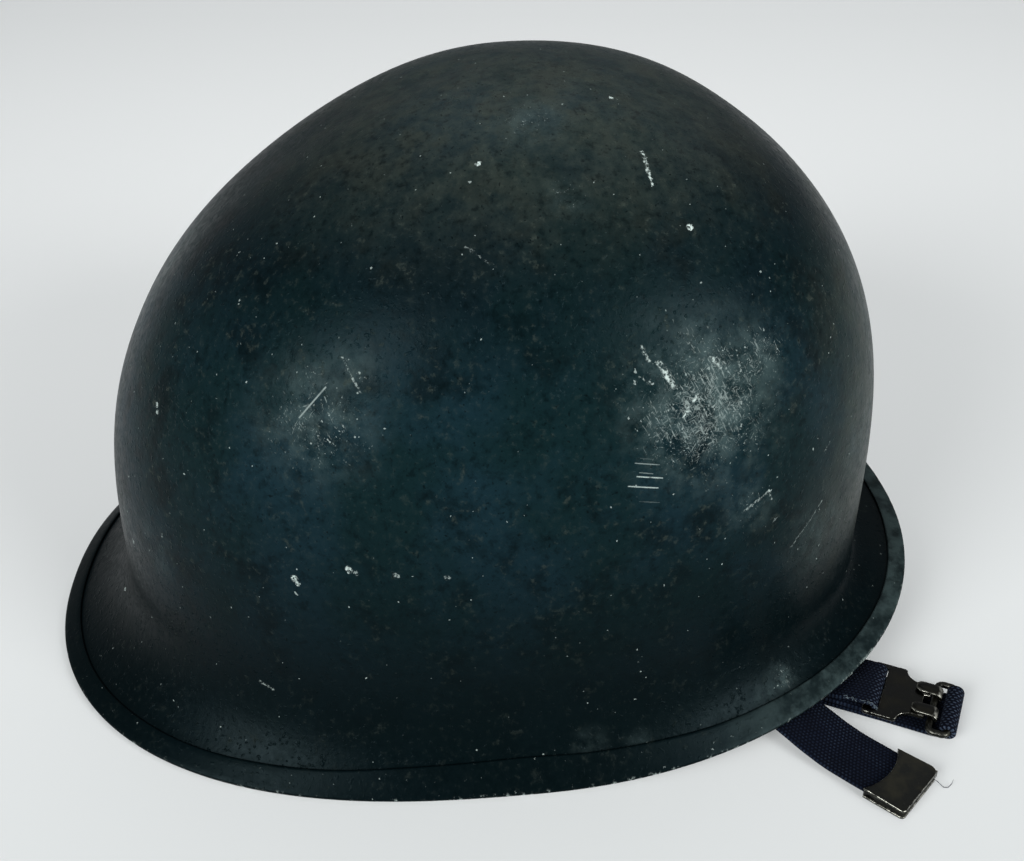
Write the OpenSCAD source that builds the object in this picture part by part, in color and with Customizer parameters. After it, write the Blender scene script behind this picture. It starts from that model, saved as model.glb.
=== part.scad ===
// Steel service helmet: painted outer shell on a fibre liner, with webbing chinstraps.
// Millimetres. The front of the helmet looks along -Y, the wearer's left is +X and up is +Z.
// The origin lies under the middle of the shell, on the plane that the rim stands on.

/* [Steel shell] */
// Half width of the dome at its foot
dome_half_w = 103.5; // [98:0.5:112]
// Reach of the dome ahead of the middle
dome_front = 120.5; // [114:0.5:128]
// Reach of the dome behind the middle
dome_rear = 125.5; // [118:0.5:134]
// Height of the crown above the rest plane
shell_h = 177.5; // [168:0.5:188]
// Thickness of the pressed steel
shell_t = 1.1; // [0.9:0.05:1.4]
// How square the plan is, 2 being an ellipse
plan_power = 2.3; // [2:0.05:2.6]
// How steep the sides stay before they round over
side_power = 3.35; // [2.6:0.05:4]
// Fullness of the profile at the front
full_front = -0.13; // [-0.3:0.01:0.1]
// Fullness of the profile at the sides
full_side = 0.12; // [-0.1:0.01:0.25]
// Fullness of the profile at the rear
full_rear = -0.38; // [-0.45:0.01:0]
// How far the crown leans towards the front
crown_lean = 11.5; // [0:0.5:16]

/* [Flange] */
// Height of the bend between dome and flange at the front
bend_front = 22; // [20:0.5:30]
// Height of the bend at the sides
bend_side = 34.5; // [30:0.5:40]
// Height of the bend at the rear
bend_rear = 30.5; // [26:0.5:36]
// Width of the flange at the front
flange_front = 19; // [15:0.5:23]
// Width of the flange at the sides
flange_side = 11.5; // [10.5:0.5:15]
// Width of the flange at the rear
flange_rear = 26.5; // [20:0.5:32]
// Height of the visor's edge above the rest plane
visor_lift = 18; // [16:0.5:20]
// Turn of the flange from the upright, in degrees
flange_turn = 48; // [42:1:52]

/* [Rim band] */
// Width of the folded edging on the outside
band_w = 5.8; // [4:0.1:8]
// Thickness of the edging
band_t = 0.6; // [0.4:0.05:0.8]

/* [Liner] */
// Gap between the shell and the liner's wall
liner_gap = 2.4; // [2.2:0.1:3]
// Gap between the shell and the liner at the crown
crown_gap = 0.3; // [0.3:0.05:1]
// Thickness of the liner
liner_t = 2.2; // [1.8:0.1:3]
// Height of the liner's edge above the rim
liner_lift = 15.5; // [15:0.5:20]

/* [Suspension] */
// Thickness of the suspension webbing
tape_t = 1.4; // [1:0.1:1.8]
// Width of the suspension webbing
tape_w = 19; // [16:0.5:22]
// Height of the middle of the suspension band
tape_z = 53; // [48:0.5:58]
// How far the suspension band stands off the liner between its rivets
tape_bow = 9; // [5:0.5:11]
// Radius of a rivet's shank
rivet_r = 1.6; // [1.2:0.1:2]
// Height of the crown lace
lace_z = 136; // [120:1:146]
// Distance of the crown lace from its own middle
lace_reach = 20; // [18:0.5:26]
// Radius of the crown lace
lace_r = 1.5; // [1:0.1:2]

/* [Sweatband] */
// Half breadth of the head opening
head_half_w = 81; // [76:0.5:84]
// Half length of the head opening
head_half_l = 99; // [92:0.5:101]
// Height of the sweatband
sweat_w = 32; // [26:0.5:36]
// Thickness of the leather
leather_t = 1.6; // [1:0.1:2]
// Width of a sweatband clip
clip_w = 9; // [7:0.5:12]
// Sheet thickness of the clips and buckles
clip_t = 0.8; // [0.6:0.05:1]

/* [Chinstrap webbing] */
// Width of the chinstrap
strap_w = 19; // [17:0.5:20]
// Thickness of the chinstrap
strap_t = 1.5; // [1.2:0.1:1.6]
// Gap between straps that lie on each other
layer_gap = 0.2; // [0.15:0.05:0.4]

/* [Bails] */
// Radius of the bail's wire
wire_r = 1.3; // [1:0.1:1.4]
// Height of the bail's hinge
bail_z = 12; // [11.5:0.25:13]
// Distance from the bail's hinge to its strap bar
bail_drop = 8.2; // [7.5:0.1:8.5]
// Length of the lug's barrel
lug_l = 16; // [12:0.5:18]

/* [Claw buckle] */
// Sheet thickness of the buckle
buckle_t = 1.2; // [1:0.1:1.4]
// Radius of the catch loop's wire
catch_r = 1.0; // [0.8:0.05:1.1]
// Width of a claw
claw_w = 4.4; // [3.5:0.1:5]
// Distance of a claw from the middle of the strap
claw_side = 4.7; // [4:0.1:5.5]

/* [Strap tip] */
// Length of the metal tip
tip_l = 12.4; // [10:0.2:16]
// Sheet thickness of the tip
tip_t = 0.7; // [0.5:0.05:1]

/* [Hidden] */
// Facets around the helmet, and rows of the dome and of the flange
around = 64;
dome_rows = 15;
flange_rows = 6;
// Clearances
seat_gap = 0.3;
fold_gap = 0.15;
pivot_gap = 0.15;
band_gap = 0.15;
// Rows of a half turn of webbing
roll_steps = 6;
// Fineness of round metal
$fn = 32;

// Plan and profile of the shell

function blend3(th, side, front, rear) =
    side + (front - side) * pow(max(cos(th), 0), 2) + (rear - side) * pow(max(-cos(th), 0), 2);
function plan_r(th) =
    pow(pow(abs(sin(th)) / dome_half_w, plan_power)
        + pow(abs(cos(th)) / (cos(th) > 0 ? dome_front : dome_rear), plan_power), -1 / plan_power);
function bend_z(th) = blend3(th, bend_side, bend_front, bend_rear);
function flange_w(th) = blend3(th, flange_side, flange_front, flange_rear);
// Height of the outer face at the rim: the band's underside below it then just meets the rest plane
rim_side = 1.05;
rim_rear = 1.45;
function rim_z(th) = blend3(th, rim_side, visor_lift, rim_rear);
function fullness(th) = blend3(th, full_side, full_front, full_rear);
function dome_share(th, u) =
    let (w = pow(u, side_power)) sqrt(max(1 - w, 0)) * (1 + fullness(th) * w);
function on_plan(th, r, z, lean) = [r * sin(th), -r * cos(th) - lean, z];
// A point of the dome at a share u of its height
function dome_point(th, u) =
    on_plan(th, plan_r(th) * dome_share(th, u), bend_z(th) + u * (shell_h - bend_z(th)), crown_lean * pow(u, 1.5));
function sweep_a(th) = flange_w(th) / (1 - cos(flange_turn));
function sweep_b(th) = (bend_z(th) - rim_z(th)) / sin(flange_turn);
// A point of the flange at an angle of its curve
function flange_point(th, ph) =
    on_plan(th, plan_r(th) + sweep_a(th) * (1 - cos(ph)), bend_z(th) - sweep_b(th) * sin(ph), 0);
// The whole face: s runs from -1 at the rim through 0 at the bend to 1 at the crown
function face_point(th, s) = s < 0 ? flange_point(th, -s * flange_turn) : dome_point(th, sin(90 * min(s, 1)));
function unit(v) = v / norm(v);
// The outward normal of the face, from four near points
function face_normal(th, s) =
    s > 0.995 ? [0, 0, 1] :
    let (e = 0.01, up = face_point(th, min(s + e, 0.9999)) - face_point(th, max(s - e, -1)),
         along = face_point(th + 1, s) - face_point(th - 1, s))
    unit(cross(along, up));
function offset_point(th, s, d) = face_point(th, s) + d * face_normal(th, s);
// The flange's curve angle at a width r beyond the dome's foot, and its radius at a height z
function flange_angle(th, r) = acos(1 - r / sweep_a(th));
function flange_r(th, z) =
    plan_r(th) + sweep_a(th) * (1 - cos(asin((bend_z(th) - z) / sweep_b(th))));

// Closed skins and sweeps

function ring_angles() = [for (k = [0:around - 1]) k * 360 / around];
// A bowl between two sets of rings that start at the edge, each closed by its own tip
module bowl(outer, outer_tip, inner, inner_tip) {
    n = len(outer[0]);
    rows = len(outer);
    points = concat([for (ring = outer) each ring], [for (ring = inner) each ring], [outer_tip, inner_tip]);
    base = rows * n;
    tips = 2 * rows * n;
    faces = concat(
        [for (i = [0:rows - 2], k = [0:n - 1])
            let (a = i * n + k, b = i * n + (k + 1) % n, c = b + n, d = a + n)
            each [[a, d, c], [a, c, b], [base + a, base + c, base + d], [base + a, base + b, base + c]]],
        [for (k = [0:n - 1])
            let (a = (rows - 1) * n + k, b = (rows - 1) * n + (k + 1) % n)
            each [[a, tips, b], [base + a, base + b, tips + 1]]],
        [for (k = [0:n - 1])
            let (a = k, b = (k + 1) % n)
            each [[a, b, base + b], [a, base + b, base + a]]]);
    polyhedron(points, faces);
}
// A solid swept through rings of equal length. Seen along the sweep, each ring turns clockwise
module sweep(rings, closed = false) {
    m = len(rings[0]);
    n = len(rings);
    last = closed ? n - 1 : n - 2;
    sides = [for (i = [0:last], j = [0:m - 1])
        let (a = i * m + j, b = i * m + (j + 1) % m, c = ((i + 1) % n) * m + (j + 1) % m, d = ((i + 1) % n) * m + j)
        each [[a, d, c], [a, c, b]]];
    caps = closed ? [] :
        [for (j = [1:m - 2]) each [[0, j, j + 1], [(n - 1) * m, (n - 1) * m + j + 1, (n - 1) * m + j]]];
    polyhedron([for (ring = rings) each ring], concat(sides, caps));
}

// Webbing: a strap is a row of stations, each with its middle, its half width and its normal

function strap_ring(st, t) =
    [st[0] + st[1] + st[2] * t / 2, st[0] - st[1] + st[2] * t / 2,
     st[0] - st[1] - st[2] * t / 2, st[0] + st[1] - st[2] * t / 2];
module strap(stations, t) sweep([for (st = stations) strap_ring(st, t)]);
// A flat station at a plan point p and height z, heading at an angle, with its first face up or down
function flat(p, z, heading, up, w) =
    [[p[0], p[1], z], -up * w / 2 * [sin(heading), -cos(heading), 0], [0, 0, up]];
// A fold of the webbing about a crease: dir is 1 to fold upwards and -1 to fold downwards
function fold(p, z, heading, crease, radius, up, dir, turn, steps, w) =
    let (k = [cos(crease), sin(crease), 0], t = [cos(heading), sin(heading), 0],
         e = unit(t - (t * k) * k), right = -up * [sin(heading), -cos(heading), 0],
         h = k * (k * right > 0 ? 1 : -1) * w / 2 / abs(sin(crease - heading)))
    [for (i = [0:steps])
        let (a = -90 + turn * i / steps, r = cos(a) * e + [0, 0, dir * sin(a)])
        [[p[0], p[1], z + dir * radius] + radius * r, h, -up * dir * r]];

steel_paint = [0.09, 0.12, 0.14];
navy = [0.05, 0.06, 0.11];
black_metal = [0.10, 0.10, 0.09];
khaki = [0.55, 0.50, 0.36];
fibre = [0.16, 0.17, 0.13];
tan_leather = [0.42, 0.26, 0.14];
brass = [0.55, 0.45, 0.22];

// Steel shell and rim band

// The steel stops short of the band's outer edge by the band's thickness and a gap
edge_inset = band_t + seat_gap;
function shell_s(th, i) =
    i < flange_rows
        ? -flange_angle(th, flange_w(th) - edge_inset) / flange_turn * (flange_rows - i) / flange_rows
        : (i - flange_rows) / dome_rows;
module steel_shell() {
    rows = flange_rows + dome_rows;
    color(steel_paint) bowl(
        [for (i = [0:rows - 1]) [for (th = ring_angles()) face_point(th, shell_s(th, i))]],
        face_point(0, 1),
        [for (i = [0:rows - 1]) [for (th = ring_angles()) offset_point(th, shell_s(th, i), -shell_t)]],
        face_point(0, 1) - [0, 0, shell_t]);
}
// A point of the band's section, at a distance back from the rim's edge and out from the face
function band_point(th, back, out) =
    let (q = offset_point(th, -flange_angle(th, flange_w(th) - back) / flange_turn, out))
    [q[0], q[1], max(q[2], 0)];
module rim_band() {
    over = band_gap + band_t;
    under = -shell_t - band_gap;
    pocket = edge_inset - 0.1;
    round_off = 0.2;
    lip = 4.2;
    color(steel_paint) sweep([for (th = ring_angles()) [
        band_point(th, band_w * 0.85, band_gap), band_point(th, band_w * 0.85, over),
        band_point(th, band_w * 0.4, over), band_point(th, round_off, over), band_point(th, 0, over - 2 * round_off),
        band_point(th, 0, under - band_t + 2 * round_off), band_point(th, round_off, under - band_t),
        band_point(th, lip, under - band_t), band_point(th, lip, under),
        band_point(th, pocket, under), band_point(th, pocket, band_gap)]], true);
}

// Bails and their lugs

lug_wall = 0.9;
barrel_r = wire_r + pivot_gap + lug_wall;
// Slope of the flange's inner face beside the bail
wall_lean = atan2(flange_r(90, bail_z - 1) - flange_r(90, bail_z + 1), 2);
bail_x = flange_r(90, bail_z) - (shell_t + seat_gap + barrel_r) / cos(wall_lean);
bar_z = bail_z - bail_drop;
bail_half = strap_w / 2 + 0.6 + wire_r;
corner_r = wire_r + 1.2;
lug_up = 7;
module bail_lug(side) {
    plate_back = barrel_r;
    color(steel_paint) translate([side * bail_x, 0, bail_z]) rotate([0, -side * wall_lean, 0]) difference() {
        union() {
            rotate([90, 0, 0]) cylinder(r = barrel_r, h = lug_l, center = true);
            translate([side * (plate_back - buckle_t / 2), 0, lug_up / 2])
                cube([buckle_t, lug_l, lug_up], center = true);
        }
        rotate([90, 0, 0]) cylinder(r = wire_r + pivot_gap, h = lug_l + 2, center = true);
    }
}
// A closed rectangle of round wire in the XY plane, its two bars along Y
module wire_loop(x0, x1, half, r, corner) {
    for (s = [-1, 1]) {
        translate([x0, 0, 0]) rotate([90, 0, 0]) cylinder(r = r, h = 2 * (half - corner), center = true);
        translate([x1, 0, 0]) rotate([90, 0, 0]) cylinder(r = r, h = 2 * (half - corner), center = true);
        translate([x0 + corner, s * half, 0]) rotate([0, 90, 0]) cylinder(r = r, h = x1 - x0 - 2 * corner);
        translate([x0 + corner, s * (half - corner), 0]) rotate([0, 0, s > 0 ? 90 : 180])
            rotate_extrude(angle = 90) translate([corner, 0]) circle(r = r);
        translate([x1 - corner, s * (half - corner), 0]) rotate([0, 0, s > 0 ? 0 : 270])
            rotate_extrude(angle = 90) translate([corner, 0]) circle(r = r);
    }
}
module bail(side) {
    color(black_metal) translate([side * bail_x, 0, bail_z]) rotate([0, 90, 0])
        wire_loop(0, bail_drop, bail_half, wire_r, corner_r);
}
loop_in = wire_r + pivot_gap;
loop_out = loop_in + strap_t;
// Where the webbing leaves the loop
tail = loop_out + 0.25;
module strap_loop(side) {
    color(navy) translate([side * bail_x, 0, bar_z]) {
        rotate([90, 0, 0]) difference() {
            cylinder(r = loop_out, h = strap_w, center = true);
            cylinder(r = loop_in, h = strap_w + 2, center = true);
        }
        translate([side > 0 ? -tail : 0, -strap_w / 2, -loop_out]) cube([tail, strap_w, strap_t]);
    }
}

// Chinstraps as they lie on the rest plane

// The buckled end lies on a line that leaves under the visor at the wearer's right
line_end = [-99.5, -129.4];
line_heading = 240;
line_dir = [cos(line_heading), sin(line_heading)];
function on_line(s) = line_end - s * line_dir;
layer = strap_t + layer_gap;
z_1 = seat_gap + strap_t / 2;
z_2 = z_1 + layer;
z_3 = z_2 + layer;
z_tail = bar_z - loop_out + strap_t / 2;
// Catch loop: its outer bar lies in the short strap's end fold, the claws hook its inner bar
catch_z = 3.3;
catch_out = 1.2;
catch_in = 6.6;
end_fold_r = catch_r + fold_gap + strap_t / 2;
// The short strap comes in from the right and turns in one flat fold onto the line
turn_s = -line_end[1] / -line_dir[1];
turn_crease = 120;
turn_fold_r = layer / 2;
short_stations = concat(
    [flat([-bail_x + tail, 0], z_tail, 0, 1, strap_w), flat([-bail_x + tail + 14, 0], z_1, 0, 1, strap_w),
     flat(on_line(turn_s) - [34, 0], z_1 + 0.2, 0, 1, strap_w),
     flat(on_line(turn_s) - [12, 0], z_2, 0, 1, strap_w)],
    fold(on_line(turn_s), z_2, 0, turn_crease, turn_fold_r, 1, -1, 180, roll_steps, strap_w),
    [for (s = [turn_s - 12, turn_s - 50, turn_s - 90, 20]) flat(on_line(s), z_1, line_heading, -1, strap_w),
     flat(on_line(catch_out + 6), catch_z - end_fold_r, line_heading, -1, strap_w)],
    fold(on_line(catch_out), catch_z - end_fold_r, line_heading, line_heading - 90, end_fold_r, -1, 1, 270, 9, strap_w));
module short_chinstrap() color(navy) strap(short_stations, strap_t);

// The long strap crosses from the left in one wide arc, folds round the buckle's bar and runs back
arc_r = 180;
arc_turn = line_heading - 180;
arc_end_s = (-line_end[1] - arc_r * (1 - cos(arc_turn))) / -line_dir[1];
arc_x = on_line(arc_end_s)[0] + arc_r * sin(arc_turn);
arc_low = 20;
arc_high = 33;
function ramp(x, a, b) = min(max((x - a) / (b - a), 0), 1);
bar_s = 24;
bar_fold_r = (buckle_t + strap_t) / 2 + 0.25;
z_return = z_2 + 2 * bar_fold_r;
// The free end turns back in a second fold and runs out beside the buckle to its metal tip
back_s = 85;
tip_heading = 222.2;
tip_end = [-127.5, -108.4];
tip_dir = [cos(tip_heading), sin(tip_heading)];
tip_z = 1.9;
mouth = tip_end - tip_l * tip_dir;
free_start = on_line(back_s);
free_knee = tip_end - 46.5 * tip_dir;
free_heading = 360 + atan2(free_knee[1] - free_start[1], free_knee[0] - free_start[0]);
back_crease = (line_heading - 180 + free_heading) / 2;
back_fold_r = layer / 2 + 0.05;
z_free = z_3 + 2 * back_fold_r;
function curve3(t) = (1 - t) * (1 - t) * free_start + 2 * t * (1 - t) * free_knee + t * t * mouth;
function curve3_heading(t) =
    let (d = (1 - t) * (free_knee - free_start) + t * (mouth - free_knee)) 360 + atan2(d[1], d[0]);
function ease(x) = x * x * (3 - 2 * x);
long_stations = concat(
    [flat([bail_x - tail, 0], z_tail, 180, -1, strap_w), flat([bail_x - tail - 14, 0], z_1, 180, -1, strap_w)],
    [for (a = [0:arc_turn / 15:arc_turn])
        flat([arc_x - arc_r * sin(a), -arc_r * (1 - cos(a))], z_1 + layer * ramp(a, arc_low, arc_high),
             180 + a, -1, strap_w)],
    [flat(on_line(bar_s + 6), z_2, line_heading, -1, strap_w)],
    fold(on_line(bar_s), z_2, line_heading, line_heading - 90, bar_fold_r, -1, 1, 180, roll_steps, strap_w),
    [flat(on_line(bar_s + 4), z_return, line_heading - 180, 1, strap_w),
     flat(on_line(bar_s + 14), z_3, line_heading - 180, 1, strap_w),
     flat(on_line(back_s - 25), z_3, line_heading - 180, 1, strap_w),
     flat(on_line(back_s - 6), z_3, line_heading - 180, 1, strap_w)],
    fold(free_start, z_3, line_heading - 180, back_crease, back_fold_r, 1, 1, 180, roll_steps, strap_w),
    [for (t = [0.09, 0.2, 0.32, 0.44, 0.56, 0.68, 0.8, 0.9, 1])
        flat(curve3(t), tip_z + (z_free - tip_z) * (1 - ease(ramp(t, 0.4, 0.86))), curve3_heading(t), -1, strap_w)],
    [flat(tip_end - 2.2 * tip_dir, tip_z, tip_heading, -1, strap_w)]);
module long_chinstrap() color(navy) strap(long_stations, strap_t);

module on_strap_line(s, z) translate([on_line(s)[0], on_line(s)[1], z]) rotate([0, 0, line_heading - 180]) children();
module strap_catch_loop() {
    color(black_metal) on_strap_line(catch_out, catch_z)
        wire_loop(0, catch_in - catch_out, strap_w / 2 + 0.3 + catch_r, catch_r, catch_r + 0.8);
}
// The buckle in its own frame: the catch bar at the origin, the helmet towards +X
claw_in = catch_r + pivot_gap;
claw_out = claw_in + buckle_t;
plate_z = z_2 + bar_fold_r - buckle_t / 2 - catch_z;
rail_in = strap_w / 2 + 0.5;
rail_out = rail_in + 1.6;
bar_x = bar_s - catch_in;
module buckle_plan() {
    waist = 7;
    shoulder = 9.5;
    difference() {
        union() {
            translate([shoulder, -rail_out]) square([bar_x + 2 - shoulder, 2 * rail_out]);
            translate([1.5, -waist]) square([shoulder, 2 * waist]);
            // Concave sides that widen from the waist to the rails
            for (s = [-1, 1]) difference() {
                translate([shoulder - 4.5, s > 0 ? waist - 0.1 : -rail_out]) square([4.6, rail_out - waist + 0.1]);
                translate([shoulder - 4.5, s * rail_out]) circle(r = 4.2);
            }
        }
        translate([shoulder, -rail_in]) square([bar_x - 0.5 - shoulder, 2 * rail_in]);
        translate([1.4, -claw_side + claw_w / 2]) square([2.2, 2 * claw_side - claw_w]);
    }
}
module claw_buckle() {
    color(black_metal) on_strap_line(catch_in, catch_z) {
        translate([0, 0, plate_z]) linear_extrude(buckle_t) buckle_plan();
        for (s = [-1, 1]) translate([0, s * claw_side, 0]) rotate([90, 0, 0]) difference() {
            cylinder(r = claw_out, h = claw_w, center = true);
            cylinder(r = claw_in, h = claw_w + 2, center = true);
            translate([0, -claw_out - 0.3, 0]) cube([3 * claw_out, 2 * claw_out, claw_w + 2], center = true);
        }
    }
}
module strap_tip() {
    half = strap_w / 2 + 0.2;
    room = strap_t + 2 * fold_gap;
    chamfer = 1.2;
    color(black_metal) translate([mouth[0], mouth[1], tip_z]) rotate([0, 0, tip_heading]) difference() {
        translate([0, 0, -room / 2 - tip_t]) linear_extrude(room + 2 * tip_t) polygon([
            [0, -half - tip_t], [tip_l - chamfer, -half - tip_t], [tip_l, -half - tip_t + chamfer],
            [tip_l, half + tip_t - chamfer], [tip_l - chamfer, half + tip_t], [0, half + tip_t]]);
        translate([-1, -half, -room / 2]) cube([tip_l - tip_t + 1, 2 * half, room]);
        // The upper leaf's mouth is hollowed
        translate([-16.5, 0, room / 2 - 0.1]) cylinder(r = 19, h = tip_t + 1, $fn = 96);
    }
}

// Liner

function liner_edge(th) = rim_z(th) - rim_side + liner_lift - (visor_lift - rim_side) * 0.55 * pow(max(cos(th), 0), 2);
// The liner's wall runs straight down below the bend; s is -1 at its edge
liner_rows = 3;
function liner_gap_at(s) = crown_gap + (liner_gap - crown_gap) * (1 - ease(ramp(s, 0.35, 1)));
function liner_point(th, s, d) =
    s <= 0
        ? let (foot = offset_point(th, 0, d)) [foot[0], foot[1], bend_z(th) + s * (bend_z(th) - liner_edge(th))]
        : offset_point(th, s, d);
function liner_out(th, s) = liner_point(th, s, -shell_t - liner_gap_at(s));
function liner_in(th, s) = liner_point(th, s, -shell_t - liner_gap_at(s) - liner_t);
function liner_s(i) = i < liner_rows ? i / liner_rows - 1 : (i - liner_rows) / dome_rows;
module liner_shell() {
    rows = liner_rows + dome_rows;
    color(fibre) bowl(
        [for (i = [0:rows - 1]) [for (th = ring_angles()) liner_out(th, liner_s(i))]],
        liner_out(0, 1),
        [for (i = [0:rows - 1]) [for (th = ring_angles()) liner_in(th, liner_s(i))]],
        liner_in(0, 1));
}
// Where the wall reaches a height z, as a share of the dome
function wall_u(th, z) = max((z - bend_z(th)) / (shell_h - bend_z(th)), 0);
// A point in from the liner's inner face at a height z
function wall_point(th, z, d) =
    let (u = wall_u(th, z), p = liner_in(th, u > 0 ? asin(u) / 90 : 0), out = [sin(th), -cos(th), 0])
    [p[0], p[1], z] - d * out;
wall_in = -shell_t - liner_gap - liner_t;

rivet_turns = [30, 90, 150, 210, 270, 330];
// Distance of the suspension band from the liner, least at a rivet and most between two
tape_seat = 1.1;
function bow(th) = tape_seat + tape_bow * pow(sin((th - rivet_turns[0]) * 180 / 60), 2);
band_steps = 72;
module suspension_band() {
    color(khaki) sweep([for (k = [0:band_steps - 1])
        let (th = k * 360 / band_steps, a = wall_point(th, tape_z, bow(th)), b = wall_point(th, tape_z, bow(th) + tape_t),
             h = [0, 0, tape_w / 2])
        [b - h, b + h, a + h, a - h]], true);
}
// Places children on the liner's inner face, with +Z into the helmet
module on_wall(th, z) {
    p = wall_point(th, z, 0);
    q = wall_point(th + 1, z, 0) - wall_point(th - 1, z, 0);
    translate(p) rotate([0, 0, atan2(q[1], q[0])]) rotate([-90, 0, 0]) children();
}
stack = tape_seat + tape_t;
washer_t = 0.8;
washer_off = stack + 1.1;
module liner_rivets() {
    head = 0.8;
    color(brass) for (th = rivet_turns) on_wall(th, tape_z) {
        translate([0, 0, -liner_t - 0.5]) cylinder(r = rivet_r, h = liner_t + 0.5 + washer_off + washer_t + 0.2);
        translate([0, 0, -liner_t - 0.5 - head]) cylinder(r = 4.5, h = head + 0.2);
        translate([0, 0, washer_off + washer_t + 0.1]) cylinder(r1 = 3, r2 = 2, h = head);
    }
}
module suspension_washers() {
    half = 8;
    color(black_metal) for (th = rivet_turns) on_wall(th, tape_z) translate([0, 0, washer_off]) linear_extrude(washer_t)
        difference() {
            polygon([[-half, half], [half, half], [half, half - 3], [2.5, -half], [-2.5, -half], [-half, half - 3]]);
            circle(r = rivet_r + 0.1);
        }
}
// Crown straps rise from the suspension band and loop over the lace
strap_foot = tape_z + tape_w / 2 + 0.1;
// Distance of a crown strap's inner face from the liner's wall, which the flat strap's edges must clear too
strap_off = tape_seat + tape_t + 1;
lace_mid = [0, -6];
loop_fold = lace_r + fold_gap + tape_t / 2;
function crown_stations(th) =
    let (foot = wall_point(th, strap_foot, strap_off - tape_t / 2), out = [sin(th), -cos(th), 0],
         side = [cos(th), sin(th), 0] * tape_w / 2,
         wall_side = unit(wall_point(th + 1, strap_foot, 0) - wall_point(th - 1, strap_foot, 0)) * tape_w / 2,
         top = [lace_mid[0], lace_mid[1], lace_z + loop_fold] + out * lace_reach,
         // An elliptic arc from foot to top, kept off the liner's wall
         arc = [for (i = [0:9])
             let (a = i * 10, z = foot[2] + (top[2] - foot[2]) * sin(a),
                  p = [top[0] + (foot[0] - top[0]) * cos(a), top[1] + (foot[1] - top[1]) * cos(a), z],
                  over = max((p - wall_point(th, z, strap_off)) * out, 0))
             p - over * out],
         aim = [for (i = [0:9]) unit(arc[min(i + 1, 9)] - arc[max(i - 1, 0)])])
    concat([for (i = [0:9])
               let (across = wall_side + (side - wall_side) * i / 9)
               [arc[i], across, unit(cross(aim[i], across))]],
           [for (i = [1:8]) let (a = 90 + i * 30)
               let (r = cos(a) * out + [0, 0, sin(a)])
               [[lace_mid[0], lace_mid[1], lace_z] + out * lace_reach + loop_fold * r, side, -r]]);
module crown_strap(n) color(khaki) strap(crown_stations(rivet_turns[n - 1]), tape_t);
// The lace runs straight through each strap's loop and turns between two straps
lace_sides = 8;
lace_bend = 4;
module crown_lace() {
    corner = lace_reach / cos(30) - lace_bend / cos(30);
    color(khaki) sweep([for (a = [0:60:300], b = [-30, -10, 10, 30])
        let (mid = lace_mid + corner * [sin(a), -cos(a)] + lace_bend * [sin(a + b), -cos(a + b)],
             out = [sin(a + b), -cos(a + b), 0])
        [for (i = [0:lace_sides - 1])
            let (g = -i * 360 / lace_sides)
            [mid[0], mid[1], lace_z] + lace_r * (cos(g) * out + [0, 0, sin(g)])]], true);
}

// Sweatband: an ellipse with a straight stretch at the rear for its buckle

sweat_z = 30;
flat_rear = head_half_l - 3.5;
function sweat_point(th, d, z) =
    [(head_half_w + d) * sin(th), min(-(head_half_l + d) * cos(th), flat_rear + d), z];
module sweatband() {
    color(tan_leather) sweep([for (k = [0:band_steps - 1])
        let (th = k * 360 / band_steps)
        [sweat_point(th, 0, sweat_z), sweat_point(th, 0, sweat_z + sweat_w),
         sweat_point(th, leather_t, sweat_z + sweat_w), sweat_point(th, leather_t, sweat_z)]], true);
}
clip_turns = [0, 60, 120, 240, 300];
clip_leg = 6;
clip_off = 1.4;
// Each clip is a bridge from the sweatband's top edge to the suspension band's
module sweatband_clips() {
    top = max(sweat_z + sweat_w, tape_z + tape_w / 2) + fold_gap;
    color(black_metal) for (th = clip_turns) {
        q = wall_point(th, tape_z, bow(th));
        turn = atan2(q[0], -q[1]);
        far = norm([q[0], q[1]]);
        near = head_half_w * head_half_l / norm([head_half_l * sin(turn), head_half_w * cos(turn)]);
        rotate([0, 0, turn]) for (leg = [[near - clip_off - clip_t, clip_t, clip_leg], [far + clip_off, clip_t, clip_leg],
                                         [near - clip_off - clip_t, far - near + 2 * clip_off + 2 * clip_t, 0]])
            translate([-clip_w / 2, -leg[0] - leg[1], top - leg[2]]) cube([clip_w, leg[1], leg[2] + clip_t]);
    }
}
buckle_room = 0.3;
size_buckle_w = 12;
size_buckle_y = flat_rear + leather_t / 2;
size_buckle_deep = leather_t + 2 * buckle_room;
size_buckle_back = size_buckle_y + size_buckle_deep / 2 + clip_t;
module sweatband_buckle() {
    w = size_buckle_w;
    deep = size_buckle_deep;
    tall = sweat_w + 2 * buckle_room;
    side_bar = 2.5;
    cross_bar = 4.5;
    color(black_metal) translate([0, size_buckle_y, sweat_z + sweat_w / 2]) difference() {
        cube([w, deep + 2 * clip_t, tall + 2 * clip_t], center = true);
        cube([w + 2, deep, tall], center = true);
        translate([0, -deep, 0]) cube([w - 2 * side_bar, deep, tall - 2 * cross_bar], center = true);
    }
}

// Nape strap and the liner's own chinstrap studs

nape_z = 27;
nape_turn = 52;
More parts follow.
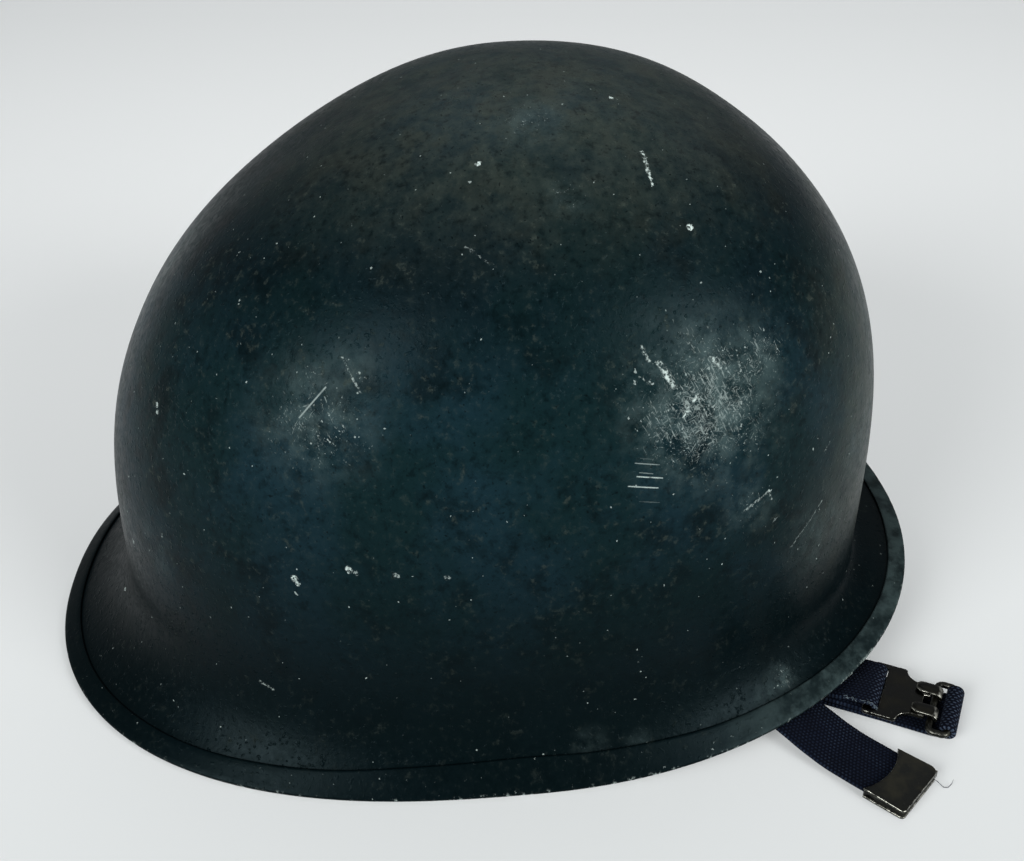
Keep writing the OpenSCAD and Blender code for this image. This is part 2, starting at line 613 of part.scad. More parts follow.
// Gap between the nape strap and the sweatband's buckle ahead of it
nape_clear = 4;
nape_seat = seat_gap + 0.1 + tape_t / 2;
nape_bow = wall_point(180, nape_z, nape_seat)[1] - tape_t / 2 - nape_clear - size_buckle_back;
function nape_station(a) =
    wall_point(180 + a, nape_z, nape_seat + nape_bow * pow(cos(a * 90 / nape_turn), 2));
nape_steps = 16;
nape_line = [for (i = [0:nape_steps]) nape_station(-nape_turn + 2 * nape_turn * i / nape_steps)];
module nape_strap() {
    color(khaki) strap([for (i = [0:nape_steps])
        let (aim = unit(nape_line[min(i + 1, nape_steps)] - nape_line[max(i - 1, 0)]))
        [nape_line[i], [0, 0, tape_w / 2], cross(aim, [0, 0, 1])]], tape_t);
}
module nape_rivets() {
    color(brass) for (s = [-1, 1]) on_wall(180 + s * (nape_turn - 4), nape_z) {
        translate([0, 0, -liner_t - 0.5]) cylinder(r = rivet_r, h = liner_t + 0.5 + stack + 1.2);
        translate([0, 0, -liner_t - 1.3]) cylinder(r = 4.5, h = 1);
        translate([0, 0, stack + 0.9]) cylinder(r1 = 4, r2 = 3, h = 0.9);
    }
}
stud_turn = 70;
stud_z = 26;
stud_r = 2.5;
stud_l = 4;
module chinstrap_stud(side) {
    color(brass) on_wall(side * stud_turn, stud_z) {
        translate([0, 0, seat_gap]) cylinder(r = 5.5, h = 0.9);
        translate([0, 0, 0.5]) cylinder(r = stud_r, h = stud_l + 0.5);
    }
}

steel_shell();
rim_band();
bail_lug(1);  // left_bail_lug
bail_lug(-1);  // right_bail_lug
bail(1);  // left_bail
bail(-1);  // right_bail
strap_loop(1);  // left_strap_loop
strap_loop(-1);  // right_strap_loop
long_chinstrap();
short_chinstrap();
strap_catch_loop();
claw_buckle();
strap_tip();
liner_shell();
liner_rivets();
suspension_washers();
suspension_band();
crown_strap(1);  // crown_strap_1
crown_strap(2);  // crown_strap_2
crown_strap(3);  // crown_strap_3
crown_strap(4);  // crown_strap_4
crown_strap(5);  // crown_strap_5
crown_strap(6);  // crown_strap_6
crown_lace();
sweatband();
sweatband_clips();
sweatband_buckle();
nape_strap();
nape_rivets();
chinstrap_stud(1);  // left_chinstrap_stud
chinstrap_stud(-1);  // right_chinstrap_stud
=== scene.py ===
# Looks of a steel service helmet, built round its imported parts. Sizes are millimetres in the parts' frame:
# the front looks along -Y, the wearer's left is +X, up is +Z, and a turn counts from the front towards +X.
import math
from functools import reduce

import bmesh
import bpy
import numpy as np
from mathutils import Matrix, Vector


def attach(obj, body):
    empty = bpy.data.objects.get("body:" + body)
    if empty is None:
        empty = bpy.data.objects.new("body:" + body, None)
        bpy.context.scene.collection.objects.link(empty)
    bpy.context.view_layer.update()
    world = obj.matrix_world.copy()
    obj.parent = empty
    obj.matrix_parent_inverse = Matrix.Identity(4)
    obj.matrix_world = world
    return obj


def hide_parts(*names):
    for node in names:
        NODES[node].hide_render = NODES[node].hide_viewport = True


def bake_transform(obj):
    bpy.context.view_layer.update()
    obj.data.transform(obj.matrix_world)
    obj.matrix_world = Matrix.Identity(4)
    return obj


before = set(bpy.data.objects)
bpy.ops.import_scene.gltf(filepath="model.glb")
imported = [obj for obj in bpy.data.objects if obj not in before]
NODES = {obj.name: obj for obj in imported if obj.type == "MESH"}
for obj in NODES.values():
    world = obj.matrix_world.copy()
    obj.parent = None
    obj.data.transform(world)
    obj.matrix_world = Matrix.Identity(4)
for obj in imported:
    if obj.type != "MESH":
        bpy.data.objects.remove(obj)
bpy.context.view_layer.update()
MM = 0.001
UP = np.array([0.0, 0, 1])

# Form of the pressed shell
DOME_HALF_W, DOME_FRONT, DOME_REAR = 103.5, 120.5, 125.5
SHELL_H, SHELL_T, CROWN_LEAN = 177.5, 1.1, 11.5
PLAN_POWER, SIDE_POWER = 2.3, 3.35
RIM_SIDE, VISOR_LIFT, FLANGE_TURN = 1.05, 18.0, 48.0
# Rim band
BAND_W, BAND_T, BAND_GAP = 5.8, 0.6, 0.15
# Liner
LINER_GAP, CROWN_GAP, LINER_T, LINER_LIFT = 2.4, 0.3, 2.2, 15.5


# Vector helpers on arrays whose last axis is X, Y, Z

def unit(v):
    return v / np.maximum(np.linalg.norm(v, axis=-1, keepdims=True), 1e-12)


def stack(*parts):
    return np.stack(np.broadcast_arrays(*parts), -1)


def ramp(x, a, b):
    return np.clip((x - a) / (b - a), 0.0, 1.0)


def ease(x):
    return x * x * (3 - 2 * x)


def sind(a):
    return np.sin(np.radians(a))


def cosd(a):
    return np.cos(np.radians(a))


def outward(turn):
    """The level direction out from the Z axis at a turn."""
    return stack(sind(turn), -cosd(turn), 0.0)


def lengths(course):
    """How far along a course each of its points lies."""
    steps = np.linalg.norm(np.diff(course, axis=0), axis=-1)
    return np.concatenate([np.zeros((1, *steps.shape[1:])), np.cumsum(steps, 0)])


def between(u, knots, rows):
    """The rows of a course, known at its knots, at the lengths u."""
    return np.stack([np.interp(u, knots, rows[:, k]) for k in range(3)], 1)


def ahead_of(course):
    """The way that a course runs at each of its points."""
    return unit(np.gradient(course, axis=0))


def bell(x):
    return np.exp(-x * x)


def heading_of(v):
    return math.degrees(math.atan2(v[1], v[0])) % 360


# The shell's face: s runs from -1 at the rim through 0 at the bend to 1 at the crown

def around(side, front, rear):
    """A measure that changes smoothly round the helmet, from its values at the sides, front and rear."""
    def measure(th):
        c = cosd(th)
        return side + (front - side) * np.maximum(c, 0) ** 2 + (rear - side) * np.maximum(-c, 0) ** 2
    return measure


bend_z = around(34.5, 22.0, 30.5)
rim_z = around(RIM_SIDE, VISOR_LIFT, 1.45)
flange_w = around(11.5, 19.0, 26.5)
fullness = around(0.12, -0.13, -0.38)


def plan_r(th):
    reach = np.where(cosd(th) > 0, DOME_FRONT, DOME_REAR)
    wide, long = np.abs(sind(th) / DOME_HALF_W), np.abs(cosd(th) / reach)
    return (wide ** PLAN_POWER + long ** PLAN_POWER) ** (-1 / PLAN_POWER)


def face_point(th, s):
    """A point of the shell's outer face."""
    u, down = sind(90 * np.clip(s, 0, 1)), np.clip(-s, 0, 1) * FLANGE_TURN
    w = u ** SIDE_POWER
    r = plan_r(th) * np.sqrt(np.maximum(1 - w, 0)) * (1 + fullness(th) * w)
    r = r + flange_w(th) * (1 - cosd(down)) / (1 - cosd(FLANGE_TURN))
    z = bend_z(th) + u * (SHELL_H - bend_z(th)) - (bend_z(th) - rim_z(th)) * sind(down) / sind(FLANGE_TURN)
    return stack(r * sind(th), -r * cosd(th) - CROWN_LEAN * u ** 1.5, z)


def offset_point(th, s, d):
    """A point at a distance out from the shell's outer face."""
    up = face_point(th, np.minimum(s + 0.004, 0.9995)) - face_point(th, np.maximum(s - 0.004, -1))
    along = face_point(th + 0.5, s) - face_point(th - 0.5, s)
    normal = np.where(np.expand_dims(s, -1) > 0.9985, UP, unit(np.cross(along, up)))
    return face_point(th, s) + np.expand_dims(d, -1) * normal


def rim_s(th, back):
    """The face's s at a plan distance back from the rim's edge."""
    a = flange_w(th) / (1 - cosd(FLANGE_TURN))
    return -np.degrees(np.arccos(1 - (flange_w(th) - back) / a)) / FLANGE_TURN


# Meshes

def linked(name, data):
    """A new object in the scene."""
    obj = bpy.data.objects.new(name, data)
    bpy.context.scene.collection.objects.link(obj)
    return obj


def make(name, verts, faces, body=None, material=None, slot=None, replaces=()):
    """A mesh object from points in millimetres, which rides on a body and stands for its nodes."""
    mesh = bpy.data.meshes.new(name)
    mesh.from_pydata((np.asarray(verts) * MM).tolist(), [], faces)
    mesh.validate()
    mesh.polygons.foreach_set("use_smooth", [True] * len(mesh.polygons))
    obj = linked(name, mesh)
    dress(obj, material)
    if body:
        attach(obj, body)
    if replaces:
        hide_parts(*replaces)
    return obj


def dress(obj, material):
    obj.data.materials.clear()
    obj.data.materials.append(material)


def grid_faces(rows, cols, start=0):
    """Quads between closed rings that follow each other."""
    return [(a + k, a + (k + 1) % cols, a + cols + (k + 1) % cols, a + cols + k)
            for a in range(start, start + (rows - 1) * cols, cols) for k in range(cols)]


def attribute(obj, name, values):
    """Stores one number per point for the materials."""
    found = obj.data.attributes.new(name, "FLOAT", "POINT")
    found.data.foreach_set("value", np.asarray(values, np.float32).ravel())


def volume(verts, faces):
    """The signed volume that faces enclose."""
    corners = np.array([(face[0], *pair) for face in faces for pair in zip(face[1:], face[2:])])
    return np.linalg.det(verts[corners]).sum() / 6


def tube_sweep(rings, closed=False):
    """Points and faces of a solid through rings of equal length, with capped ends unless it is closed."""
    rings = np.array(rings)
    n, m = rings.shape[:2]
    if closed:
        faces = [tuple(i % (n * m) for i in face) for face in grid_faces(n + 1, m)]
    else:
        faces = [*grid_faces(n, m), tuple(range(m))[::-1], tuple(range((n - 1) * m, n * m))]
    verts = rings.reshape(-1, 3)
    return verts, faces if volume(verts, faces) > 0 else [face[::-1] for face in faces]


# Materials

class Flow:
    """What flows out of a node of a material; what is done with it adds nodes of its own."""

    def __init__(self, look, socket):
        self.look, self.socket = look, socket

    def math(self, operation, other=0.0):
        return self.look.add("Math", {0: self, 1: other}, operation=operation)

    def __add__(self, other):
        return self.math("ADD", other)

    def __sub__(self, other):
        return self.math("SUBTRACT", other)

    def __rsub__(self, other):
        return self.look.add("Math", {0: other, 1: self}, operation="SUBTRACT")

    def __mul__(self, other):
        return self.math("MULTIPLY", other)

    def vector(self, operation, other=(0, 0, 0), scale=1.0, out=0):
        return self.look.add("VectorMath", {0: self, 1: other, 3: scale}, out, operation=operation)

    def stretch(self, *factors):
        return self.vector("MULTIPLY", factors)

    def dot(self, aim):
        return self.vector("DOT_PRODUCT", tuple(aim), out=1)

    def part(self, axis):
        return self.look.add("SeparateXYZ", {0: self}, axis)

    def span(self, low, high, to_low=0.0, to_high=1.0):
        """A smooth step from low to high."""
        return self.look.add("MapRange", {0: self, 1: low, 2: high, 3: to_low, 4: to_high},
                             interpolation_type="SMOOTHSTEP")

    def grain(self, size, detail=3.0, rough=0.55, distortion=0.0, out=0):
        """Noise whose lumps are about size millimetres across, centred on a half."""
        return self.look.add("TexNoise", {"Vector": self, "Scale": 1 / size, "Detail": detail,
                                          "Roughness": rough, "Distortion": distortion}, out)

    def segment(self, a, b, width):
        """1 on the line from a to b, fading over its half width."""
        along = b - a
        share = self.vector("SUBTRACT", tuple(a)).dot(along) * (1 / (along @ along))
        share.socket.node.use_clamp = True
        foot = self.look.add("VectorMath", {0: tuple(along), 3: share}, operation="SCALE")
        gap = self.vector("DISTANCE", foot.vector("ADD", tuple(a)), out=1)
        return gap.span(width * 0.8, width * 0.2)

    def ball(self, centre, radius, soft):
        """1 near a point, fading towards a radius."""
        return self.vector("DISTANCE", tuple(centre), out=1).span(radius, radius * (1 - soft))


def either(*masks):
    """The strongest of several masks at each point."""
    return reduce(lambda a, b: a.math("MAXIMUM", b), masks)


class Look:
    """One material: a Principled shader with coats of colour and layers of relief."""

    def __init__(self, name, **sockets):
        self.material = bpy.data.materials.new(name)
        self.material.use_nodes = True
        self.tree = self.material.node_tree
        self.shader = self.tree.nodes["Principled BSDF"]
        self.colour, self.normal = None, {}
        for key, value in sockets.items():
            self.set(key.replace("_", " "), value)
        # The surface point in millimetres
        self.where = self.add("TexCoord", out="Object").vector("SCALE", scale=1 / MM)

    def put(self, socket, value):
        if isinstance(value, Flow):
            self.tree.links.new(value.socket, socket)
        else:
            socket.default_value = (*value, 1) if socket.type == "RGBA" else value

    def set(self, name, value):
        self.put(self.shader.inputs[name], value)

    def add(self, kind, inputs=(), out=0, **settings):
        node = self.tree.nodes.new("ShaderNode" + kind)
        for key, value in settings.items():
            setattr(node, key, value)
        for key, value in dict(inputs).items():
            self.put(node.inputs[key], value)
        return Flow(self, node.outputs[out])

    def coat(self, *coats):
        """Lays each coat's colour by its share over what is there; a first coat has no share."""
        for share, colour in coats:
            self.colour = colour if share is None else self.add(
                "Mix", {0: share, 6: self.colour, 7: colour}, 2, data_type="RGBA")
        self.set("Base Color", self.colour)

    def emboss(self, height, depth):
        """Adds a relief from a height of 0 to 1 that is depth millimetres deep."""
        self.normal = {"Normal": self.add("Bump", {"Height": height, "Distance": depth * MM, "Strength": 1.0,
                                                   **self.normal})}
        self.set("Normal", self.normal["Normal"])

    def read(self, name):
        return self.add("Attribute", out="Fac", attribute_name=name)

    def edge(self, radius, samples):
        """How far the surface still faces its own way within a radius: 1 on a flat, less along an edge."""
        rim = self.add("Bevel", {"Radius": radius * MM}, samples=samples)
        return rim.vector("DOT_PRODUCT", self.add("NewGeometry", out=1), out=1)


def toned(colour, tone):
    return tuple(c * tone for c in colour)


# Steel shell and rim band

TURNS = 288
DOME_ROWS, FLANGE_ROWS = 104, 26
# Shallow dents of the dome: turn, height, radius and depth
DENTS = [
    (338, 168, 24, 1.3), (318, 171, 14, -0.4), (20, 150, 26, 0.7), (230, 150, 22, 0.5), (120, 120, 30, 0.6),
    (285, 60, 24, 0.35), (255, 88, 18, -0.3), (65, 95, 20, 0.5), (160, 70, 22, 0.5),
]


def on_shell(turn, z):
    """The point of the outer face that lies at a turn round the Z axis and at a height."""
    th = float(turn)
    for _ in range(8):
        bend = float(bend_z(th))
        if z >= bend:
            s = math.degrees(math.asin(min((z - bend) / (SHELL_H - bend), 1))) / 90
        else:
            s = -math.degrees(math.asin((bend - z) / (bend - rim_z(th)) * sind(FLANGE_TURN))) / FLANGE_TURN
        point = face_point(th, s)
        th += (turn - heading_of((-point[1], point[0])) + 180) % 360 - 180
    return point


def relief(points):
    """How far the pressed steel departs from its ideal form, outwards."""
    x, y, z = points[..., 0], points[..., 1], points[..., 2]
    height = 0.12 * np.sin(x / 17 + 1.3) * np.sin(y / 23 + 0.4)
    height += 0.1 * np.sin(z / 13 + y / 31) * np.cos(x / 29 - y / 19)
    for turn, level, radius, depth in DENTS:
        gap = np.linalg.norm(points - on_shell(turn, level), axis=-1)
        height -= depth * bell(gap / radius * 2 ** 0.5)
    return height * ramp(z, 25, 60)


def shell_rings(depth):
    """Rings of the shell at a depth under its outer face, from the rim up, and the crown's tip."""
    th = np.arange(TURNS) * 360 / TURNS
    low = rim_s(th, BAND_T + 0.3) * np.linspace(1, 0, FLANGE_ROWS, endpoint=False)[:, None]
    high = 0 * th + np.linspace(0, 1, DOME_ROWS, endpoint=False)[:, None]
    s = np.concatenate([low, high])
    tip = face_point(0, 1.0)
    return offset_point(th, s, relief(face_point(th, s)) - depth), tip + UP * (relief(tip) - depth)


def bowl(outer, outer_tip, inner, inner_tip):
    """Points and faces of a bowl between two sets of rings that start at its edge."""
    rows, cols = outer.shape[:2]
    size, top = rows * cols, (rows - 1) * cols
    verts = np.concatenate([outer.reshape(-1, 3), inner.reshape(-1, 3), [outer_tip, inner_tip]])
    faces = grid_faces(rows, cols) + [face[::-1] for face in grid_faces(rows, cols, size)]
    for a in range(cols):
        b = (a + 1) % cols
        faces += [(top + a, top + b, 2 * size), (size + top + b, size + top + a, 2 * size + 1),
                  (b, a, size + a, size + b)]
    return verts, faces


def steel_shell(material):
    outer, outer_tip = shell_rings(0)
    solid = bowl(outer, outer_tip, *shell_rings(SHELL_T))
    shell = make("steel_shell_skin", *solid, "steel_pot", material, "midnight_paint", ["steel_shell"])
    back = lengths(outer)
    attribute(shell, "rim_gap", np.pad(back.ravel(), (0, back.size + 2), constant_values=back.max()))


def band_section():
    """The edging's section as pairs: distance back from the rim and out from the face."""
    top, under, low = BAND_GAP + BAND_T, -SHELL_T - BAND_GAP, -SHELL_T - BAND_GAP - BAND_T
    mid, half = (top + low) / 2, (top - low) / 2
    rise = sind(np.linspace(78, -78, 13))
    roll = zip(0.95 * (1 - (1 - rise ** 2) ** 0.3), mid + half * np.sign(rise) * np.abs(rise) ** 0.75)
    leaf = [(BAND_W, BAND_GAP - 0.1), (BAND_W + 0.05, BAND_GAP + 0.3), (BAND_W - 0.12, top - 0.1),
            (BAND_W - 0.4, top), (BAND_W * 0.72, top + 0.04), (BAND_W * 0.45, top + 0.06), (1.6, top + 0.02)]
    back = [(1.8, low), (4, low), (4.25, low + 0.2), (4.2, under), (1.2, under), (0.9, 0),
            (1.2, BAND_GAP - 0.1)]
    return [*leaf, *roll, *back]


def rim_band(material):
    th = np.arange(TURNS * 2) * 180 / TURNS
    section = np.array(band_section())[::-1]
    waver = 0.07 * np.sin(np.radians(th * 7) + 1) + 0.05 * np.sin(np.radians(th * 19))
    rings = np.stack([offset_point(th, rim_s(th, back + waver * ramp(back, 3, 5)), out)
                      for back, out in section], 1)
    rings[..., 2] = np.maximum(rings[..., 2], 0)
    verts, faces = tube_sweep(rings, closed=True)
    band = make("rim_band_skin", verts, faces, "steel_pot", material, "band_paint", ["rim_band"])
    attribute(band, "rim_back", np.tile(section[:, 0], len(th)))
    attribute(band, "rim_out", np.tile(section[:, 1], len(th)))


# Painted steel

# Bare or pale marks on the right side: turn and height of both ends, width and strength
SCRATCHES = [
    ((306.2, 165.4), (302.1, 160), 0.8, 0.9),
    ((286.4, 100.9), (289.9, 99.4), 0.30, 0.30), ((287, 98.1), (288.9, 97.2), 0.28, 0.28),
    ((286.6, 97.1), (290.3, 95.5), 0.34, 0.58), ((285.3, 94.7), (289.6, 92.9), 0.34, 0.52),
    ((286.9, 89.8), (289.8, 88.5), 0.28, 0.10), ((287.2, 102), (289, 101.2), 0.26, 0.09),
    ((291.4, 125.2), (293, 119), 1.2, 0.8), ((299.3, 124), (300.7, 121.2), 1, 0.7),
    ((296.2, 115.6), (294, 111), 0.7, 0.8), ((289.2, 129.4), (289.9, 126), 0.7, 0.6),
    ((288.2, 122.6), (290, 120.4), 0.5, 0.4), ((303, 79.5), (307, 82.8), 0.7, 0.35),
    ((307, 83), (307.6, 79.8), 0.5, 0.6), ((308, 72), (319, 88), 0.5, 0.22),
    ((318, 70), (312, 60), 0.6, 0.25), ((316.2, 12.9), (315.5, 10.8), 0.5, 0.6),
    ((243, 128), (246.5, 121), 0.5, 0.4), ((237.5, 113), (241, 121), 0.4, 0.35),
    ((229.5, 27.5), (231.5, 26), 0.6, 0.35), ((262, 152), (266, 149), 0.5, 0.22),
    ((80, 120), (86, 117), 0.6, 0.6), ((66, 96), (60, 88), 0.5, 0.5), ((118, 90), (126, 92), 0.5, 0.4),
    ((24, 122), (30, 130), 0.6, 0.5), ((8, 88), (2, 84), 0.5, 0.5), ((150, 104), (156, 97), 0.6, 0.5),
]
# Chips: turn, height, radius and strength
CHIPS = [
    (237, 67.8, 1.25, 0.8), (237.5, 66.4, 1, 0.6), (245, 73, 1.3, 0.7), (246, 72.2, 0.9, 0.5),
    (251.7, 72, 0.95, 0.4), (258.9, 71.5, 0.9, 0.4), (210.3, 102.4, 1, 0.6), (210.9, 100.9, 0.9, 0.5),
    (304.1, 151.5, 1.15, 1), (318.3, 173.1, 1, 1), (264.2, 165.7, 0.9, 1), (204.5, 53, 1.2, 0.35),
    (193.8, 19, 1, 0.5), (72, 110, 1.6, 0.8), (100, 76, 1.4, 0.7), (35, 95, 1.5, 0.8),
    (170, 88, 1.7, 0.8), (142, 128, 1.2, 0.8), (55, 140, 1.1, 0.8),
]
# Fields of fine scuffing, which also carry painted glints and a pale haze that is partly a painted highlight:
# turn, height, radius and strength
SCUFFS = [
    (298, 113, 34, 1), (307, 121, 15, 0.9), (289.5, 122, 13, 0.6), (240, 113, 25, 0.62),
    (245, 124, 12, 0.5), (304, 80, 14, 0.45), (283, 172, 16, 0.5), (283, 160, 10, 0.35),
    (318, 60, 22, 0.35), (212, 60, 14, 0.3), (310.5, 14.6, 9, 0.6), (306.9, 12, 7, 0.6),
    (279.1, 11.5, 8, 0.25), (286.5, 10.3, 6, 0.25), (328.9, 82.3, 24, 0.35), (203.9, 60, 14, 0.3),
    (66, 112, 30, 0.85), (118, 108, 26, 0.6), (20, 120, 24, 0.5), (352, 104, 20, 0.4), (178, 120, 28, 0.5),
    (158, 84, 18, 0.4), (92, 62, 20, 0.35), (40, 168, 24, 0.45),
]
# The dark paint colour also serves as painted shade.
SLATE, SEA, DARK_PAINT_AND_SHADE = (0.0042, 0.0138, 0.0190), (0.0026, 0.0098, 0.0112), (0.0007, 0.0022, 0.0027)
# The olive dust colour also serves as a painted sheen at the front, the pale scuff colour partly as a painted
# highlight, and the bare chip colour for painted glints.
OLIVE_DUST_AND_SHEEN, PALE_SCUFF_AND_HIGHLIGHT, BARE_CHIP_AND_GLINT = (0.050, 0.062, 0.050), (0.079, 0.119, 0.119), (0.48, 0.57, 0.54)
GLOSS = {"Specular_IOR_Level": 0.038, "Specular_Tint": (0.62, 0.92, 1.0)}
# Marks up to this width are fine lines, wider ones are ragged
THIN = 0.45


def painted(look, wear_and_glints):
    """The helmet's paint under a mask of its wear and painted glints, darkened as painted shade low down and
    in a belt high on the dome, with dust on top and at the front, where it is partly painted sheen; its fine
    skin is returned.
    """
    where = look.where
    level = where.part(2)
    clouds, patches, mottle = where.grain(46, 4, 0.6), where.grain(13, 5, 0.62), where.grain(2.6, 5, 0.68)
    # Painted shade: a darker belt high on the dome.
    painted_shade_belt = level.span(114, 142) * level.span(174, 160) * clouds.span(0.36, 0.60, 1.0, 0.5)
    # Dust on top and at the front; at the front it is partly a painted sheen.
    front = where.part(1).span(-72, -118) * level.span(28, 60)
    dust_and_sheen_patches = (patches * 0.45 + where.grain(5, 6, 0.72) * 0.55).span(0.38, 0.60, 0.3, 1)
    dust_and_sheen = either(level.span(138, 177, 0, 0.42) * dust_and_sheen_patches, front * dust_and_sheen_patches * 0.48)
    flecks = mottle.span(0.54, 0.70) * patches.span(0.42, 0.60, 0.25, 1) * level.span(25, 95, 0.30, 1)
    pits = where.grain(1.0, 2, 0.5).span(0.64, 0.74)
    # The coats lay painted shade: darker towards the bottom and over the belt.
    look.coat((None, SLATE), (clouds.span(0.38, 0.62), SEA), (patches.span(0.47, 0.68, 0, 0.62), DARK_PAINT_AND_SHADE),
              (level.span(105, 20, 0, 0.93), DARK_PAINT_AND_SHADE), (painted_shade_belt * 0.75, DARK_PAINT_AND_SHADE), (dust_and_sheen, OLIVE_DUST_AND_SHEEN),
              (mottle.span(0.50, 0.30, 0, 0.6), DARK_PAINT_AND_SHADE), (flecks * 0.30, OLIVE_DUST_AND_SHEEN), (pits * 0.8, DARK_PAINT_AND_SHADE),
              (wear_and_glints, BARE_CHIP_AND_GLINT))
    look.set("Roughness", mottle.span(0.3, 0.7, 0.29, 0.44) + wear_and_glints * 0.12)
    pimples = where.grain(1.3, 1, 0.5).span(0.60, 0.78)
    return where.grain(1.5, 3, 0.6) * 0.5 + where.grain(6, 2) * 0.4 + pimples * 0.8


def scuffing(look, fields):
    """Short crossing strokes and painted glints inside round fields, closer and stronger towards their
    middles.
    """
    where = look.where
    field = either(*[where.ball(on_shell(turn, z), radius, 0.95) * force
                     for turn, z, radius, force in fields])
    close = field * 0.22 + where.grain(7.5, 4, 0.65) * 0.30
    strokes = []
    for lean, width, gate in ((62, 0.52, 0.885), (118, 0.42, 0.905), (20, 0.36, 0.935), (160, 0.6, 0.935)):
        rise, run = float(sind(lean)), float(cosd(lean))
        course = look.add("CombineXYZ", {0: where.dot(unit(np.array([0.45, run, rise]))) * 0.2,
                                         1: where.dot((0, -rise, run)), 2: where.dot((1, 0, 0)) * 0.5})
        strokes.append((course.grain(width, 3, 0.6, 0.5) + close).span(gate, gate + 0.16))
    # Painted glints among the strokes.
    painted_glints = (where.grain(0.7, 2, 0.5) + close * 0.5).span(0.80, 0.90)
    return either(*strokes, painted_glints) * field.span(0.02, 0.5), field


def shell_paint():
    look = Look("midnight_paint", **GLOSS)
    where = look.where
    shift = where.grain(1 / 0.9, 2.0, 0.5, out=1).vector("SUBTRACT", (0.5, 0.5, 0.5))
    ragged = where.vector("ADD", shift.vector("SCALE", scale=1.6))
    broad = [ragged.segment(on_shell(*a), on_shell(*b), width) * force
             for a, b, width, force in SCRATCHES if width > THIN]
    thin = [where.segment(on_shell(*a), on_shell(*b), width) * force
            for a, b, width, force in SCRATCHES if width <= THIN]
    spots = [ragged.ball(on_shell(turn, z), radius, 0.4) * force for turn, z, radius, force in CHIPS]
    broken = where.grain(0.9, 3, 0.65).span(0.40, 0.60)
    faded = where.grain(2.5, 3, 0.6).span(0.30, 0.50, 0.35, 1)
    marks = either(either(*broad, *spots) * broken, either(*thin) * faded)
    fine, field = scuffing(look, SCUFFS)
    # Pale specks, denser in the scuff fields, that are partly painted glints.
    specks_and_glints = (where.grain(1.5, 1, 0.5) + field * 0.09).span(0.775, 0.81) * 0.35
    skin = painted(look, either(marks, fine * 0.31, specks_and_glints))
    # A pale haze in the scuff fields that is partly scuffing and partly a painted highlight.
    scuff_haze_and_highlight = field * where.grain(7, 5, 0.68).span(0.38, 0.66) * 0.42
    # Painted shade just above the rim band's edge.
    band_edge_shade = look.read("rim_gap").span(9.5, 6.6) * 0.8
    look.coat((scuff_haze_and_highlight, PALE_SCUFF_AND_HIGHLIGHT), (band_edge_shade, DARK_PAINT_AND_SHADE))
    look.emboss(1.0 - either(marks, fine * 0.5), 0.10)
    look.emboss(skin, 0.16)
    return look.material


def band_paint():
    look = Look("band_paint", **GLOSS)
    where = look.where
    back, out = look.read("rim_back"), look.read("rim_out")
    chipped = (where.grain(2.0, 4, 0.7) + where.grain(30, 2, 0.5) * 0.5).span(0.80, 0.92)
    low_edge = back.span(0.9, 0.25) * chipped * out.span(0.9, -0.4, 0.2, 0.75) * back.span(2.2, 1.2)
    nicks = where.grain(1.5, 3, 0.65).span(0.70, 0.75) * 0.32
    skin = painted(look, either(low_edge, nicks))
    # Dust on the band's front face, partly a painted sheen.
    visor = where.part(1).span(-45, -95)
    look.coat((visor * where.grain(9, 5, 0.68).span(0.36, 0.62, 0.06, 0.30) * out.span(0.1, 0.7), PALE_SCUFF_AND_HIGHLIGHT))
    look.emboss(skin, 0.06)
    return look.material


def lug_paint():
    look = Look("lug_paint", Specular_IOR_Level=0.18)
    look.emboss(painted(look, look.where.grain(1.2, 3, 0.6).span(0.66, 0.72) * 0.6), 0.05)
    return look.material


steel_shell(shell_paint())
rim_band(band_paint())
for lug in ("left_bail_lug", "right_bail_lug"):
    dress(NODES[lug], lug_paint())


# Webbing

STRAP_W, STRAP_T, LAYER_GAP = 19.0, 1.5, 0.2
STEP = 0.45


def selvedge_section(width, thick):
    """Points round a webbing's section: distance across from its middle and out from its middle plane."""
    half, eased = width / 2, 0.62
    flat_part = np.linspace(half - eased, eased - half, 13)
    face = [(c, thick / 2 * (1 - 0.05 * bell((abs(c) - half + 1.7) / 0.5))) for c in flat_part]
    edge = [(eased - half - eased * cosd(a), thick / 2 * sind(a)) for a in (60, 30, 0, -30, -60)]
    return face + edge + [(-c, -d) for c, d in face + edge]


def smoothed(values, sigma, step=STEP):
    """Rows of values eased along their order, with their ends kept."""
    reach = math.ceil(3 * sigma / step)
    weights = bell(np.arange(-reach, reach + 1) * step / sigma / 2 ** 0.5)
    weights /= weights.sum()
    long = np.pad(values, ((reach, reach), (0, 0)), "reflect", reflect_type="odd")
    return np.stack([np.convolve(long[:, k], weights, "valid") for k in range(values.shape[1])], 1)


